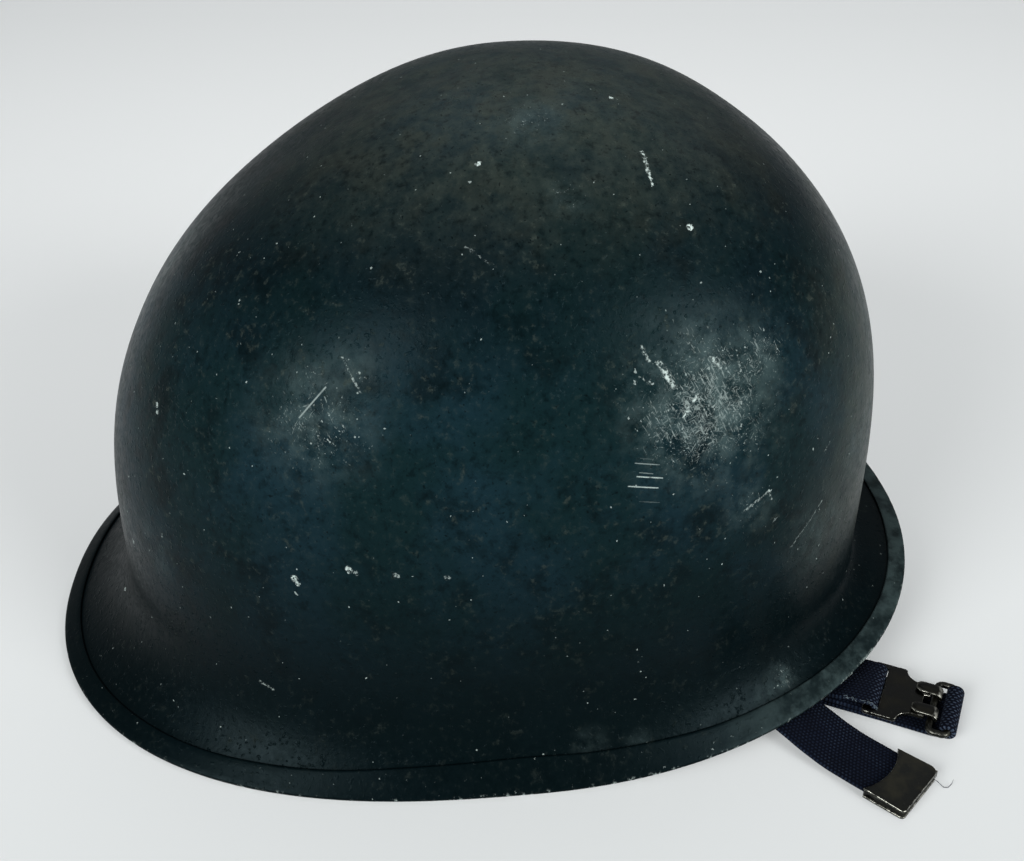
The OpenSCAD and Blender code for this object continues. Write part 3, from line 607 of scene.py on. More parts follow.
class Ribbon:
    """A strap's whole course as even stations, from which stretches are cut as separate meshes."""

    def __init__(self, stations, width, thick, sigma=0.45):
        rows = [np.array(row, float) for row in zip(*stations)]
        knots = lengths(rows[0])
        self.u = np.arange(0, knots[-1], STEP)
        self.place, self.across, normal = (smoothed(between(self.u, knots, row), sigma) for row in rows)
        ahead = ahead_of(self.place)
        for v in (unit(self.across), ahead):
            normal -= (normal * v).sum(1, keepdims=True) * v
        self.normal = unit(normal)
        bend = np.linalg.norm(np.gradient(ahead, axis=0), axis=1) / STEP
        self.creased = smoothed(np.clip(bend / 0.35, 0, 1)[:, None], 0.9)[:, 0]
        self.width, self.thick = width, thick

    def cut(self, name, start, end, material, slot, body=None, replaces=()):
        """One stretch as a closed mesh that knows where its weave runs and where it is creased."""
        c, d = np.array(selvedge_section(self.width, self.thick)).T
        inside = (self.u >= start - 1e-6) & (self.u <= end + 1e-6)
        u, place, across, normal, creased = (
            rows[inside] for rows in (self.u, self.place, self.across, self.normal, self.creased))
        sway = np.sin(u * 5.9) + 0.8 * np.sin(u * 0.71) + 0.6 * np.sin(u * 0.23)
        share = c / (self.width / 2) * (1 + 0.05 / self.width * sway[:, None])
        rings = place[:, None] + across[:, None] * share[..., None] + normal[:, None] * d[:, None]
        obj = make(name, *tube_sweep(rings), body, material, slot, replaces)
        attribute(obj, "weave_u", np.repeat(u, len(c)))
        attribute(obj, "weave_v", np.tile(c, len(u)))
        attribute(obj, "fold_crease", np.repeat(creased, len(c)))
        return obj

    def whole(self, name, material, slot, replaces=()):
        """The whole course as one piece of the liner."""
        self.cut(name, 0, self.u[-1], material, slot, "liner", replaces)


def round_rings(place, ahead, axis, radius, sides):
    """Rings of a round section along a course, on a radius for each ring or each of its points."""
    side = unit(np.cross(ahead, axis))
    over = np.cross(side, ahead)
    turn = np.arange(sides) * 2 * np.pi / sides
    round_ = np.cos(turn)[:, None] * side[:, None] + np.sin(turn)[:, None] * over[:, None]
    return place[:, None] + radius[..., None] * round_


def threads(name, courses, radius, material, slot, body=None):
    """Several thin round threads as one object, each drawn in at its two ends."""
    solids = []
    for course in courses:
        course = np.array(course)
        taper = np.ones((len(course), 1))
        taper[0] = taper[-1] = 0.35
        rings = round_rings(course, ahead_of(course), (0.31, 0.22, 0.92), radius * taper, 6)
        solids.append(tube_sweep(rings))
    return make(name, *joined(*solids), body, material, slot)


def stitch_row(middle, half, lift):
    """Courses of even stitches for half a row's length to both sides of a middle, each sunk at both ends."""
    far = 2 * np.linalg.norm(half)
    ahead = unit(half)
    count = int(far / 2.6)
    return [[middle - half + ahead * ((i + 0.5) * far / count + 2.0 * t) + lift * 0.22 * (1 - 5 * t * t)
             for t in (-0.5, -0.3, 0.0, 0.3, 0.5)] for i in range(count)]


# The chinstraps' courses on the rest plane: stations with a middle, a half width and a normal. Both straps'
# front ends lie on one line, along which s counts back from its end, in up to three layers.

NAVY = "navy_webbing"
BAIL_X, BAR_Z = 104.048, 3.8
LINE_END, LINE_HEADING = np.array([-99.5, -129.4]), 240.0
LINE_DIR = stack(cosd(LINE_HEADING), sind(LINE_HEADING))
LAYER = STRAP_T + LAYER_GAP
Z_1 = 0.3 + STRAP_T / 2
Z_2, Z_3 = Z_1 + LAYER, Z_1 + 2 * LAYER
LOOP_R, LOOP_TAIL = 2.2, 3.2
Z_TAIL = BAR_Z - LOOP_R
CATCH_Z, CATCH_OUT, CATCH_IN, CATCH_R = 3.3, 1.2, 6.6, 1.0
BUCKLE_T = 1.2
END_FOLD_R = CATCH_R + 0.15 + STRAP_T / 2
BAR_S, SPLIT_S, BACK_S = 24.0, 55, 85.0
BAR_FOLD_R = (BUCKLE_T + STRAP_T) / 2 + 0.25
BACK_FOLD_R = LAYER / 2 + 0.05
TIP_HEADING, TIP_END, TIP_Z, TIP_L = 222.2, np.array([-127.5, -108.4]), 1.9, 12.4
TIP_DIR = stack(cosd(TIP_HEADING), sind(TIP_HEADING))
ARC_R, ARC_LOW, ARC_HIGH = 180.0, 20, 33


def on_line(s):
    return LINE_END - s * LINE_DIR


def flat(p, z, heading=LINE_HEADING, up=-1):
    """A level station at a plan point and a height; up is 1 where the strap's face looks up."""
    return [(*p, z), -up * STRAP_W / 2 * stack(sind(heading), -cosd(heading), 0.0), (0, 0, up)]


def fold(p, z, heading, crease, radius, up, rise, turn=180, steps=12):
    """Stations round a crease: rise is 1 to fold upwards and -1 to fold downwards."""
    line, ahead = (stack(cosd(a), sind(a), 0.0) for a in (crease, heading))
    out = unit(ahead - (ahead @ line) * line)
    right = flat(p, z, heading, up)[1]
    half = line * (1 if line @ right > 0 else -1) * STRAP_W / 2 / abs(sind(crease - heading))
    rows = []
    for i in range(steps + 1):
        a = -90 + turn * i / steps
        round_ = cosd(a) * out + rise * sind(a) * UP
        rows.append([np.array([*p, z + rise * radius]) + radius * round_, half, -up * rise * round_])
    return rows


def bail_wrap(side):
    """From the sewn end over the bail's bar to the strap's underside."""
    heading, top = 90 - 90 * side, Z_TAIL + LAYER
    ply = [flat((side * (BAIL_X - back), 0), z, heading, side)
           for back, z in ((17, top), (7.5, top), (5.2, top + 0.35), (3.4, top + 1.6), (1.9, BAR_Z + 1.55))]
    return ply + fold((side * BAIL_X, 0), BAR_Z + LOOP_R, heading, 90, LOOP_R, side, -1)


def short_course():
    turn_s = LINE_END[1] / LINE_DIR[1]
    turn_x = on_line(turn_s)[0]
    low = CATCH_Z - END_FOLD_R
    tail_x = LOOP_TAIL - BAIL_X
    level = [(tail_x, Z_TAIL), (tail_x + 14, Z_1), (turn_x - 34, Z_1 + 0.2), (turn_x - 12, Z_2)]
    slanted = [(turn_s - 12, Z_1), (turn_s - 50, Z_1), (turn_s - 90, Z_1), (20, Z_1),
               (CATCH_OUT + 8, Z_1 - 0.15), (CATCH_OUT + 3.6, Z_1 - 0.15), (CATCH_OUT + 1.2, low - 0.05)]
    return (bail_wrap(-1) + [flat((x, 0), z, 0, 1) for x, z in level]
            + fold((turn_x, 0), Z_2, 0, 120, LAYER / 2, 1, -1) + [flat(on_line(s), z) for s, z in slanted]
            + fold(on_line(CATCH_OUT), low, LINE_HEADING, LINE_HEADING - 90, END_FOLD_R, -1, 1, 270, 18))


def free_course():
    """The free end from the second fold to inside its metal tip."""
    start, knee, mouth = on_line(BACK_S), TIP_END - 46.5 * TIP_DIR, TIP_END - TIP_L * TIP_DIR
    rows = []
    for t in np.linspace(0.07, 1, 32):
        p = (1 - t) ** 2 * start + 2 * t * (1 - t) * knee + t * t * mouth
        aim = (1 - t) * (knee - start) + t * (mouth - knee)
        z = TIP_Z + (Z_3 + 2 * BACK_FOLD_R - TIP_Z) * (1 - ease(ramp(t, 0.4, 0.86)))
        rows.append(flat(p, z, heading_of(aim)))
    rows.append(flat(TIP_END - 2.2 * TIP_DIR, TIP_Z, TIP_HEADING))
    return start, knee, rows


def long_course():
    back = LINE_HEADING - 180
    arc_s = (ARC_R * (1 - cosd(back)) + LINE_END[1]) / LINE_DIR[1]
    arc_x = on_line(arc_s)[0] + ARC_R * sind(back)
    tail_x = BAIL_X - LOOP_TAIL
    rows = bail_wrap(1) + [flat((tail_x, 0), Z_TAIL, 180), flat((tail_x - 14, 0), Z_1, 180)]
    rows += [flat((arc_x - ARC_R * sind(a), -ARC_R * (1 - cosd(a))), Z_1 + LAYER * ramp(a, ARC_LOW, ARC_HIGH),
                  180 + a) for a in np.linspace(0, back, 31)]
    rows.append(flat(on_line(BAR_S + 6), Z_2))
    rows += fold(on_line(BAR_S), Z_2, LINE_HEADING, LINE_HEADING - 90, BAR_FOLD_R, -1, 1)
    returning = [(BAR_S + 4, Z_2 + 2 * BAR_FOLD_R), (BAR_S + 14, Z_3), (BACK_S - 25, Z_3), (BACK_S - 6, Z_3)]
    rows += [flat(on_line(s), z, back, 1) for s, z in returning]
    start, knee, free = free_course()
    return rows + fold(start, Z_3, back, (back + heading_of(knee - start)) / 2, BACK_FOLD_R, 1, 1) + free


def nearest_u(ribbon, point, low=0.0, high=1e9):
    """Where along a ribbon, between two bounds, a point lies nearest."""
    gap = np.linalg.norm(ribbon.place - point, axis=1)
    return ribbon.u[np.where((ribbon.u < low) | (ribbon.u > high), 1e9, gap).argmin()]


def webbing(name, float_gap_shade, base, lit, pitch=(0.92, 1.0), fuzz=0.35, depth=0.16, dusty=0.0):
    """Plain woven tape: rows of short warp floats in brick order, with painted shade in the gaps between them
    and painted highlights on their crests, stronger along folds.
    """
    look = Look(name, Specular_IOR_Level=0.06, Roughness=0.86, Sheen_Weight=fuzz, Sheen_Roughness=0.5,
                Sheen_Tint=(0.8, 0.76, 0.6) if dusty else (0.35, 0.42, 0.55))
    where = look.where
    sway = where.grain(2.2, 3, 0.6) - 0.5
    weave_u, weave_v = look.read("weave_u"), look.read("weave_v")
    u = weave_u.math("DIVIDE", pitch[0]) + sway * 0.5
    v = weave_v.math("DIVIDE", pitch[1]) + sway * 0.35
    odd = v.math("FLOOR").math("ABSOLUTE").math("MODULO", 2.0)
    du = (u + odd * 0.5).math("FRACT") - 0.5
    dv = v.math("FRACT") - 0.5
    gap = ((du * 1.75).math("POWER", 2.0) + (dv * 2.05).math("POWER", 2.0)).math("SQRT")
    warp = gap.span(1.05, 0.15)
    along = look.add("CombineXYZ", {0: weave_u, 1: weave_v, 2: sway}).stretch(0.35, 1.0, 1.0)
    fibres = along.grain(0.16, 2, 0.6)
    crease = look.read("fold_crease")
    # Patches and folds strengthen the painted highlights on the crests; on khaki webbing they also carry real
    # dust.
    wear_and_highlight = either(where.grain(7, 4, 0.65).span(0.42, 0.68), crease)
    crest_highlight = warp.span(0.5, 0.98) * fibres.span(0.35, 0.65, 0.45, 1) * wear_and_highlight.span(0, 1, 0.35, 1)
    # Painted shade in the gaps between floats, painted highlights on their crests and brighter ones along
    # folds.
    look.coat((None, base), (where.grain(18, 3, 0.6).span(0.4, 0.62), toned(base, 0.72)),
              (warp.span(0.05, 0.6, 0.75, 0.0), float_gap_shade), (crest_highlight * 0.8, lit),
              (crest_highlight * crease * 0.5, tuple(1.6 * c + 0.03 for c in lit)))
    if dusty:
        look.coat((wear_and_highlight * dusty, (0.30, 0.25, 0.16)))
    look.emboss(warp * 0.8 + fibres * 0.25, depth)
    return look.material


# Chinstrap metal

def plate(name, outlines, thick, bevel, longest=None):
    """A flat plate in its own frame, from its outline and holes, standing on z = 0 with eased edges."""
    curve = bpy.data.curves.new(name, "CURVE")
    curve.dimensions, curve.fill_mode = "2D", "BOTH"
    curve.extrude, curve.bevel_depth, curve.bevel_resolution = thick / 2 - bevel, bevel, 2
    curve.offset = -bevel
    for outline in outlines:
        spline = curve.splines.new("POLY")
        spline.points.add(len(outline) - 1)
        spline.points.foreach_set("co", [c for x, y in outline for c in (x, y, 0, 1)])
        spline.use_cyclic_u = True
    holder = linked(name, curve)
    mesh = bpy.data.meshes.new_from_object(holder.evaluated_get(bpy.context.evaluated_depsgraph_get()))
    bpy.data.objects.remove(holder)
    bm = bmesh.new()
    bm.from_mesh(mesh)
    bmesh.ops.remove_doubles(bm, verts=bm.verts, dist=0.002)
    bmesh.ops.translate(bm, verts=bm.verts, vec=(0, 0, thick / 2))
    if longest:
        bmesh.ops.triangulate(bm, faces=[f for f in bm.faces if len(f.verts) > 4])
        for _ in range(4):
            long = [e for e in bm.edges if e.calc_length() > longest]
            bmesh.ops.subdivide_edges(bm, edges=long, cuts=1, use_grid_fill=True)
        bmesh.ops.triangulate(bm, faces=[f for f in bm.faces if len(f.verts) > 4])
    bmesh.ops.recalc_face_normals(bm, faces=bm.faces)
    bm.verts.index_update()
    verts = np.array([tuple(v.co) for v in bm.verts])
    faces = [tuple(v.index for v in f.verts) for f in bm.faces]
    bm.free()
    bpy.data.meshes.remove(mesh)
    return verts, faces


def joined(*solids):
    """Points and faces of several solids as one."""
    starts = np.cumsum([0] + [len(verts) for verts, _ in solids]).tolist()
    faces = [tuple(i + start for i in face) for start, (_, some) in zip(starts, solids) for face in some]
    return np.concatenate([verts for verts, _ in solids]), faces


def rounded(corners):
    """An outline through corners given as x, y and the radius on which they are turned."""
    points = []
    spots = np.array([corner[:2] for corner in corners])
    for i, (_, _, r) in enumerate(corners):
        here = spots[i]
        before, after = unit(spots[i - 1] - here), unit(spots[(i + 1) % len(spots)] - here)
        half = math.acos(before @ after) / 2
        a, b = (here + way * r / math.tan(half) for way in (before, after))
        centre = here + unit(before + after) * r / math.sin(half)
        points += [tuple(centre + unit(a + (b - a) * k / 5 - centre) * r) for k in range(6)]
    return points


def strip(line, widths, thick, side_at):
    """A bent strip of sheet: its middle line in the XZ plane, half widths along it and its place along Y."""
    t, bevel = thick / 2, 0.14
    rings = []
    for (x, z), (ax, az), w in zip(line, ahead_of(line), widths):
        face = [(w, t - bevel), (w - bevel, t), (bevel - w, t), (-w, t - bevel)]
        rings.append([(x + az * d, side_at + c, z - ax * d) for c, d in face + [(-c, -d) for c, d in face]])
    return tube_sweep(rings)


def placed(solid, origin, heading, height):
    """A solid moved from its own frame to a plan point, a heading and a height."""
    (x, y, z), c, s = solid[0].T, cosd(heading), sind(heading)
    return stack(x * c - y * s, x * s + y * c, z) + np.array([*origin, height]), solid[1]


def claw_buckle(material):
    """A waisted plate whose end carries two claws over the catch loop's bar. X runs towards the helmet."""
    waist, shoulder, rail, bar_x = 7.0, 9.6, 11.6, BAR_S - CATCH_IN
    plate_z = Z_2 + BAR_FOLD_R - BUCKLE_T / 2 - CATCH_Z
    curve = [(4.4 + 5.0 * sind(a), waist + (rail - waist - 0.4) * (1 - cosd(a))) for a in range(0, 91, 10)]
    side = [(1.5, waist - 0.9), (2.3, waist), *curve, (shoulder + 0.7, rail), (bar_x + 1.2, rail),
            (bar_x + 2, rail - 0.8)]
    notch = [(1.5, -2.4), (3.2, -2.2), (3.2, 2.2), (1.5, 2.4)]
    outline = side + [(x, -y) for x, y in side[::-1]] + notch
    slot_half = STRAP_W / 2 + 0.2
    hole = rounded([(bar_x + x, y * slot_half, 0.6)
                    for x, y in ((-2.5, -1), (-0.5, -1), (-0.5, 1), (-2.5, 1))])
    body = plate("buckle_plate", [outline, hole], BUCKLE_T, 0.2, longest=2.0)
    body[0][:, 2] += plate_z - 0.10 * (body[0][:, 1] / rail) ** 2
    lift, reach, inner = 2.36, 1.72, 0.62
    line = [(5.9, lift), (5.5, lift), (4.7, lift + 0.02), (3.6, lift + 0.03), (2.4, lift + 0.02), (1.2, lift),
            (0.1, lift - 0.02)]
    line += [(0.1 - reach * sind(a), inner + reach * cosd(a)) for a in range(12, 91, 13)] + [(-1.63, 0.45)]
    widths = [1.15, 1.5, 2.15] + [2.2] * (len(line) - 5) + [2.1, 1.8]
    root = [(1.7, plate_z + BUCKLE_T), (4.0, plate_z + BUCKLE_T)]
    claws = [strip(line, widths, 0.85, s * 4.7) for s in (-1, 1)]
    roots = [strip(root, [1.9, 1.9], 0.8, s * 4.7) for s in (-1, 1)]
    solid = placed(joined(body, *claws, *roots), on_line(CATCH_IN), LINE_HEADING - 180, CATCH_Z)
    make("claw_buckle_skin", *solid, "buckle", material, "blackened_steel", ["claw_buckle"])


def strap_tip(material):
    """A folded sheath on the webbing's end. X runs out to the tip's own end from its mouth."""
    half = STRAP_W / 2 + 0.2
    sheet, room = 0.7, STRAP_T + 0.3
    wall = half + sheet
    mouth = [(-16.5 + math.sqrt(19.0 ** 2 - y * y), y) for y in np.linspace(wall - 0.35, -wall + 0.35, 15)]
    leaf = rounded([(-0.15, -wall, 0.25), (TIP_L, -wall, 1.2), (TIP_L, wall, 2.6), (-0.15, wall, 0.25)])
    top = plate("tip_leaf", [[p for p in leaf if p[0] > 0.2] + mouth], sheet, 0.24, longest=1.6)
    x, y, _ = top[0].T
    top[0][:, 2] += room / 2 + 0.30 * np.clip(1 - (y / wall) ** 2, 0, 1) * np.clip((TIP_L - x) / 5, 0, 1)
    low = plate("tip_floor", [leaf], sheet, 0.24)
    low[0][:, 2] -= room / 2 + sheet
    near, far = half - 0.05, half + 0.35
    side = [(TIP_L - sheet, near), (-0.15, near), (-0.15, far), (TIP_L - 0.3, far)]
    edge = plate("tip_wall", [side + [(x, -y) for x, y in side[::-1]]], room + 0.4, 0.05)
    edge[0][:, 2] -= room / 2 + 0.2
    solid = placed(joined(top, low, edge), TIP_END - TIP_L * TIP_DIR, TIP_HEADING, TIP_Z)
    make("strap_tip_skin", *solid, "steel_pot", material, "blackened_steel", ["strap_tip"])


def blackened_steel(name, rub, tone=1.0):
    """Old bronze-black finish, rubbed bright along its edges."""
    look = Look(name, Metallic=0.9)
    where = look.where
    tilt = look.add("TexCoord", out="Normal").part(2).math("ABSOLUTE")
    shoulder = tilt.span(0.96, 0.84) * tilt.span(0.25, 0.5)
    patchy = where.grain(1.4, 4, 0.65).span(0.36, 0.64)
    rubbed = either(look.edge(0.55, 6).span(0.96, 0.76), shoulder) * patchy * rub
    cloud = where.grain(7, 3, 0.55)
    hairs = where.stretch(0.4, 2.6, 1.0).grain(1.2, 4, 0.7).span(0.60, 0.74)
    look.coat((None, toned((0.009, 0.010, 0.009), tone)),
              (cloud.span(0.40, 0.66), toned((0.024, 0.0235, 0.017), tone)),
              (hairs * 0.25, (0.10, 0.10, 0.085)), (rubbed, (0.56, 0.56, 0.49)))
    look.set("Roughness", cloud.span(0.3, 0.7, 0.24, 0.42) + rubbed * 0.06)
    look.emboss(where.grain(0.7, 3, 0.6), 0.02)
    return look.material


def frayed_threads(ribbon, bar):
    """Loose ends of the webbing along its lower corner, round where it is folded over the bar."""
    rng = np.random.default_rng(11)
    courses = []
    for _ in range(64):
        k = int(np.searchsorted(ribbon.u, bar + rng.uniform(-2.5, 7.0)))
        root = ribbon.place[k] + ribbon.across[k] * rng.uniform(0.86, 0.99) + ribbon.normal[k] * 0.5
        ahead = unit(ribbon.place[k + 1] - ribbon.place[k])
        aim = unit(unit(ribbon.across[k]) * rng.uniform(0.4, 1.0) + ahead * rng.normal(0, 0.7)
                   + ribbon.normal[k] * rng.uniform(0.1, 0.5))
        curl = unit(np.cross(aim, rng.normal(0, 1, 3)))
        long = rng.uniform(0.5, 1.5)
        courses.append([root + aim * long * t + (curl * 0.4 - UP * 0.35) * long * t * t
                        for t in np.linspace(0, 1, 6)])
    return courses


def thread_cotton(name, colour):
    look = Look(name, Roughness=0.85, Specular_IOR_Level=0.2)
    look.coat((None, toned(colour, 0.6)), (look.where.grain(0.5, 2).span(0.3, 0.7), colour))
    return look.material


def bail_loop(ribbon, word, side, cloth):
    """Cuts a strap's sewn loop round its bail and returns where the loop ends."""
    join_x = BAIL_X - LOOP_TAIL - 14
    end = nearest_u(ribbon, (side * join_x, 0, Z_1), 20)
    loop = ribbon.cut(f"{word}_bail_loop_webbing", 0, end, cloth, NAVY, replaces=[f"{word}_strap_loop"])
    near, far = ((side * x * MM, 0, 0) for x in (BAIL_X - 2, join_x))
    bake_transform(loop)
    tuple(near)
    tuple(far)
    return end


def chinstraps():
    cloth = webbing(NAVY, (0.0004, 0.0007, 0.002), (0.0016, 0.0034, 0.0105), (0.020, 0.032, 0.052),
                    (1.15, 1.1), fuzz=0.02, depth=0.22)
    long = Ribbon(long_course(), STRAP_W, STRAP_T)
    into = nearest_u(long, (*on_line(SPLIT_S), Z_2), 100)
    away = nearest_u(long, (*on_line(SPLIT_S), Z_3), into + 20)
    bar = nearest_u(long, (*on_line(BAR_S), Z_2 + 2 * BAR_FOLD_R), into, away)
    start = bail_loop(long, "left", 1, cloth)
    long.cut("long_chinstrap_webbing", start, into, cloth, NAVY, "steel_pot", ["long_chinstrap"])
    turn = long.cut("buckle_end_webbing", into, away, cloth, NAVY)
    long.cut("free_end_webbing", away, long.u[-1], cloth, NAVY, "steel_pot")
    short = Ribbon(short_course(), STRAP_W, STRAP_T)
    start = bail_loop(short, "right", -1, cloth)
    short.cut("short_chinstrap_webbing", start, short.u[-1], cloth, NAVY, "steel_pot", ["short_chinstrap"])
    grey = thread_cotton("grey_thread", (0.10, 0.13, 0.15))
    navy = thread_cotton("navy_thread", (0.010, 0.014, 0.03))
    frays = threads("buckle_end_frays", frayed_threads(long, bar), 0.08, grey, NAVY)
    for piece in (turn, frays):
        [np.array([*on_line(s), 0]) * MM for s in (SPLIT_S, BAR_S)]
        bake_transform(piece)
    stray = [(-120.2, -112.6, 1.9), (-122.3, -115.2, 0.7), (-124.2, -116.4, 0.2), (-124.3, -117.6, 0.2),
             (-123.4, -119.0, 0.6), (-122.4, -119.8, 1.1)]
    threads("tip_stray_thread", [stray], 0.09, navy, NAVY, "steel_pot")


def chinstrap_metal():
    claw_buckle(blackened_steel("blackened_buckle", 0.8, 0.45))
    strap_tip(blackened_steel("blackened_tip", 0.85))
    wire = blackened_steel("blackened_wire", 0.16)
    for node in ("strap_catch_loop", "left_bail", "right_bail"):
        dress(NODES[node], wire)


chinstraps()
chinstrap_metal()


# Liner: its shell, suspension and sweatband

LINER_TURNS = 192
TAPE_W, TAPE_T, TAPE_Z, TAPE_SEAT, TAPE_BOW = 19.0, 1.4, 53.0, 1.1, 9.0
LACE_MID, LACE_REACH, LACE_R, LACE_BEND = np.array([0, -6, 136.0]), 20.0, 1.5, 4.0
RIVET_TURNS = range(30, 360, 60)
HEAD_HALF_W, HEAD_HALF_L, SWEAT_W, LEATHER_T, SWEAT_Z = 81.0, 99.0, 32.0, 1.6, 30.0
FLAT_REAR = HEAD_HALF_L - 3.5
NAPE_Z, NAPE_TURN, NAPE_CLEAR = 27.0, 52.0, 4.0
KHAKI = "khaki_webbing"


liner_edge = around(LINER_LIFT, LINER_LIFT + 0.45 * (VISOR_LIFT - RIM_SIDE), LINER_LIFT + 0.4)


def liner_point(th, s, depth):
    """A point of the liner at a depth under its outer skin; s is -1 at its edge and 0 at the shell's bend."""
    th, s = np.broadcast_arrays(np.asarray(th, float), np.asarray(s, float))
    gap = CROWN_GAP + (LINER_GAP - CROWN_GAP) * (1 - ease(ramp(s, 0.35, 1)))
    point = offset_point(th, np.maximum(s, 0), -SHELL_T - gap - depth)
    low = bend_z(th) + s * (bend_z(th) - liner_edge(th))
    point[..., 2] = np.where(s <= 0, low, point[..., 2])
    return point


def wall_point(th, z, d):
    """A point in from the liner's inner face, level, at a height z."""
    s = np.degrees(np.arcsin(np.clip((z - bend_z(th)) / (SHELL_H - bend_z(th)), 0, 1))) / 90
    point = liner_point(th, s, LINER_T) - np.expand_dims(d, -1) * outward(th)
    point[..., 2] = z
    return point


def tape_bow(th):
    return TAPE_SEAT + TAPE_BOW * sind((th - RIVET_TURNS[0]) * 3) ** 2


def liner_shell(material):
    levels = np.concatenate([np.linspace(-1, 0, 14)[1:-1], np.linspace(0, 1, 64)[:-1]])
    lip = [(-1, 0.55), (-0.993, 0.18), (-0.975, 0.0)]
    th = np.arange(LINER_TURNS) * 360 / LINER_TURNS
    outer, inner = (np.array([liner_point(th, s, depth + inwards * eased)
                              for s, eased in [*lip, *((s, 0.0) for s in levels)]])
                    for depth, inwards in ((0, 1), (LINER_T, -1)))
    tips = [liner_point(0.0, 1.0, depth) for depth in (0, LINER_T)]
    make("liner_shell_skin", *bowl(outer, tips[0], inner, tips[1]), "liner", material, "liner_fibre",
         ["liner_shell"])


def band_course(th, layers):
    """Stations of an upright tape at turns th on the bowed band's course, a number of layers in."""
    place = wall_point(th, TAPE_Z, tape_bow(th) + layers)
    return [[p, UP * TAPE_W / 2, o] for p, o in zip(place, outward(th))]


def suspension(cloth, cotton):
    band = Ribbon(band_course(np.arange(180, 540.5, 1.5), TAPE_T / 2), TAPE_W, TAPE_T, 1.0)
    band.whole("suspension_band_webbing", cloth, KHAKI, ["suspension_band"])
    lap = Ribbon(band_course(np.arange(174, 186.5, 0.5), 1.5 * TAPE_T + 0.1), TAPE_W, TAPE_T, 1.0)
    lap.whole("suspension_band_lap", cloth, KHAKI)
    rows = []
    for turn in (175.2, 184.8):
        foot = wall_point(turn, TAPE_Z, tape_bow(turn) + 2 * TAPE_T + 0.12)
        rows += stitch_row(foot, UP * 7.5, -unit(foot * [1, 1, 0]))
    for n, turn in enumerate(RIVET_TURNS, 1):
        strap, marks = crown_strap(turn)
        strap.whole(f"crown_strap_{n}_webbing", cloth, KHAKI, [f"crown_strap_{n}"])
        rows += marks
    threads("suspension_stitching", rows, 0.28, cotton, KHAKI, "liner")


def crown_strap(turn):
    """A strap from the band up to the lace, round it and back under itself, with its stitches."""
    out, side = outward(turn), outward(turn + 90) * TAPE_W / 2
    foot_z, seat = TAPE_Z + TAPE_W / 2 + 0.1, TAPE_SEAT + TAPE_T
    foot = wall_point(turn, foot_z, seat + 1 - TAPE_T / 2)
    wall_side = unit(wall_point(turn + 1, foot_z, 0) - wall_point(turn - 1, foot_z, 0)) * TAPE_W / 2
    fold_r = LACE_R + 0.15 + TAPE_T / 2
    lace = LACE_MID + out * LACE_REACH
    top = lace + UP * fold_r
    a = np.arange(0, 91, 3)[:, None]
    course = top + (foot - top) * cosd(a)
    course[:, 2:] = foot[2] + (top[2] - foot[2]) * sind(a)
    over = (course - wall_point(turn, course[:, 2], seat + 1)) @ out
    course -= np.maximum(over, 0)[:, None] * out
    across = wall_side + (side - wall_side) * np.linspace(0, 1, len(course))[:, None]
    normal = unit(np.cross(ahead_of(course), across))
    sign = 1 if normal[-1] @ UP < 0 else -1
    low = [[wall_point(turn, TAPE_Z + rise, seat + 0.5), wall_side, normal[0]] for rise in (-8.5, -3, 3, 7)]
    rounds = [cosd(a) * out + UP * sind(a) for a in range(105, 271, 15)]
    loop = [[lace + fold_r * r, side, -sign * r] for r in rounds]
    # The strap's end lies under the strap, seen here from the lace down
    place, across_down, down = course[::-1], across[::-1], normal[::-1]
    gaps = lengths(place)
    apart = 2 * fold_r - (2 * fold_r - TAPE_T - 0.15) * np.minimum(gaps / 9, 1)
    under = [[place[i] + sign * down[i] * apart[i], across_down[i], -down[i]]
             for i, gap in enumerate(gaps) if 3 < gap < 21]
    strap = Ribbon([*low, *zip(course, across, normal), *loop, *under], TAPE_W, TAPE_T, 0.8)
    marks = []
    for distance in (12.0, 17.0):
        i = int(np.searchsorted(gaps[1:], distance)) + 1
        middle = place[i] - sign * down[i] * (TAPE_T / 2 + 0.02)
        marks += stitch_row(middle, across_down[i] * 0.84, -sign * down[i])
    return strap, marks


def crown_lace(material):
    """A laid lace through the straps' loops, tied at the front."""
    corner = (LACE_REACH - LACE_BEND) / cosd(30)
    course = [LACE_MID + corner * outward(a) + LACE_BEND * outward(a + b)
              for a in range(0, 360, 60) for b in range(-30, 31, 6)]
    course = np.array(course + course[:1])
    knots = lengths(course)
    u = np.linspace(0, knots[-1], 420)[:-1]
    loop = laid(between(u, knots, course), u, closed=True)
    turn = np.linspace(0, 2 * np.pi * 1.9, 90)
    tie = LACE_MID - [0, LACE_REACH - 0.4, 0]
    knot = tie + stack(3.84 * (turn / turn[-1] - 0.5), 2.35 * np.cos(turn), 2.35 * np.sin(turn))
    t = np.linspace(0, 1, 60)
    ends = [start + stack(s * (4.5 * t + 1.5 * np.sin(3 * t)), 9.0 * t, -13.0 * t ** 1.6)
            for s, start in ((-1, knot[0]), (1, knot[-1]))]
    course = np.concatenate([ends[0][::-1], knot[1:-1], ends[1]])
    knots = lengths(course)
    u = np.arange(0, knots[-1], 0.4)
    tied = laid(smoothed(between(u, knots, course), 1.0, 0.4), u, scale=0.8)
    make("crown_lace_cord", *joined(loop, tied), "liner", material, "lace_cotton", ["crown_lace"])


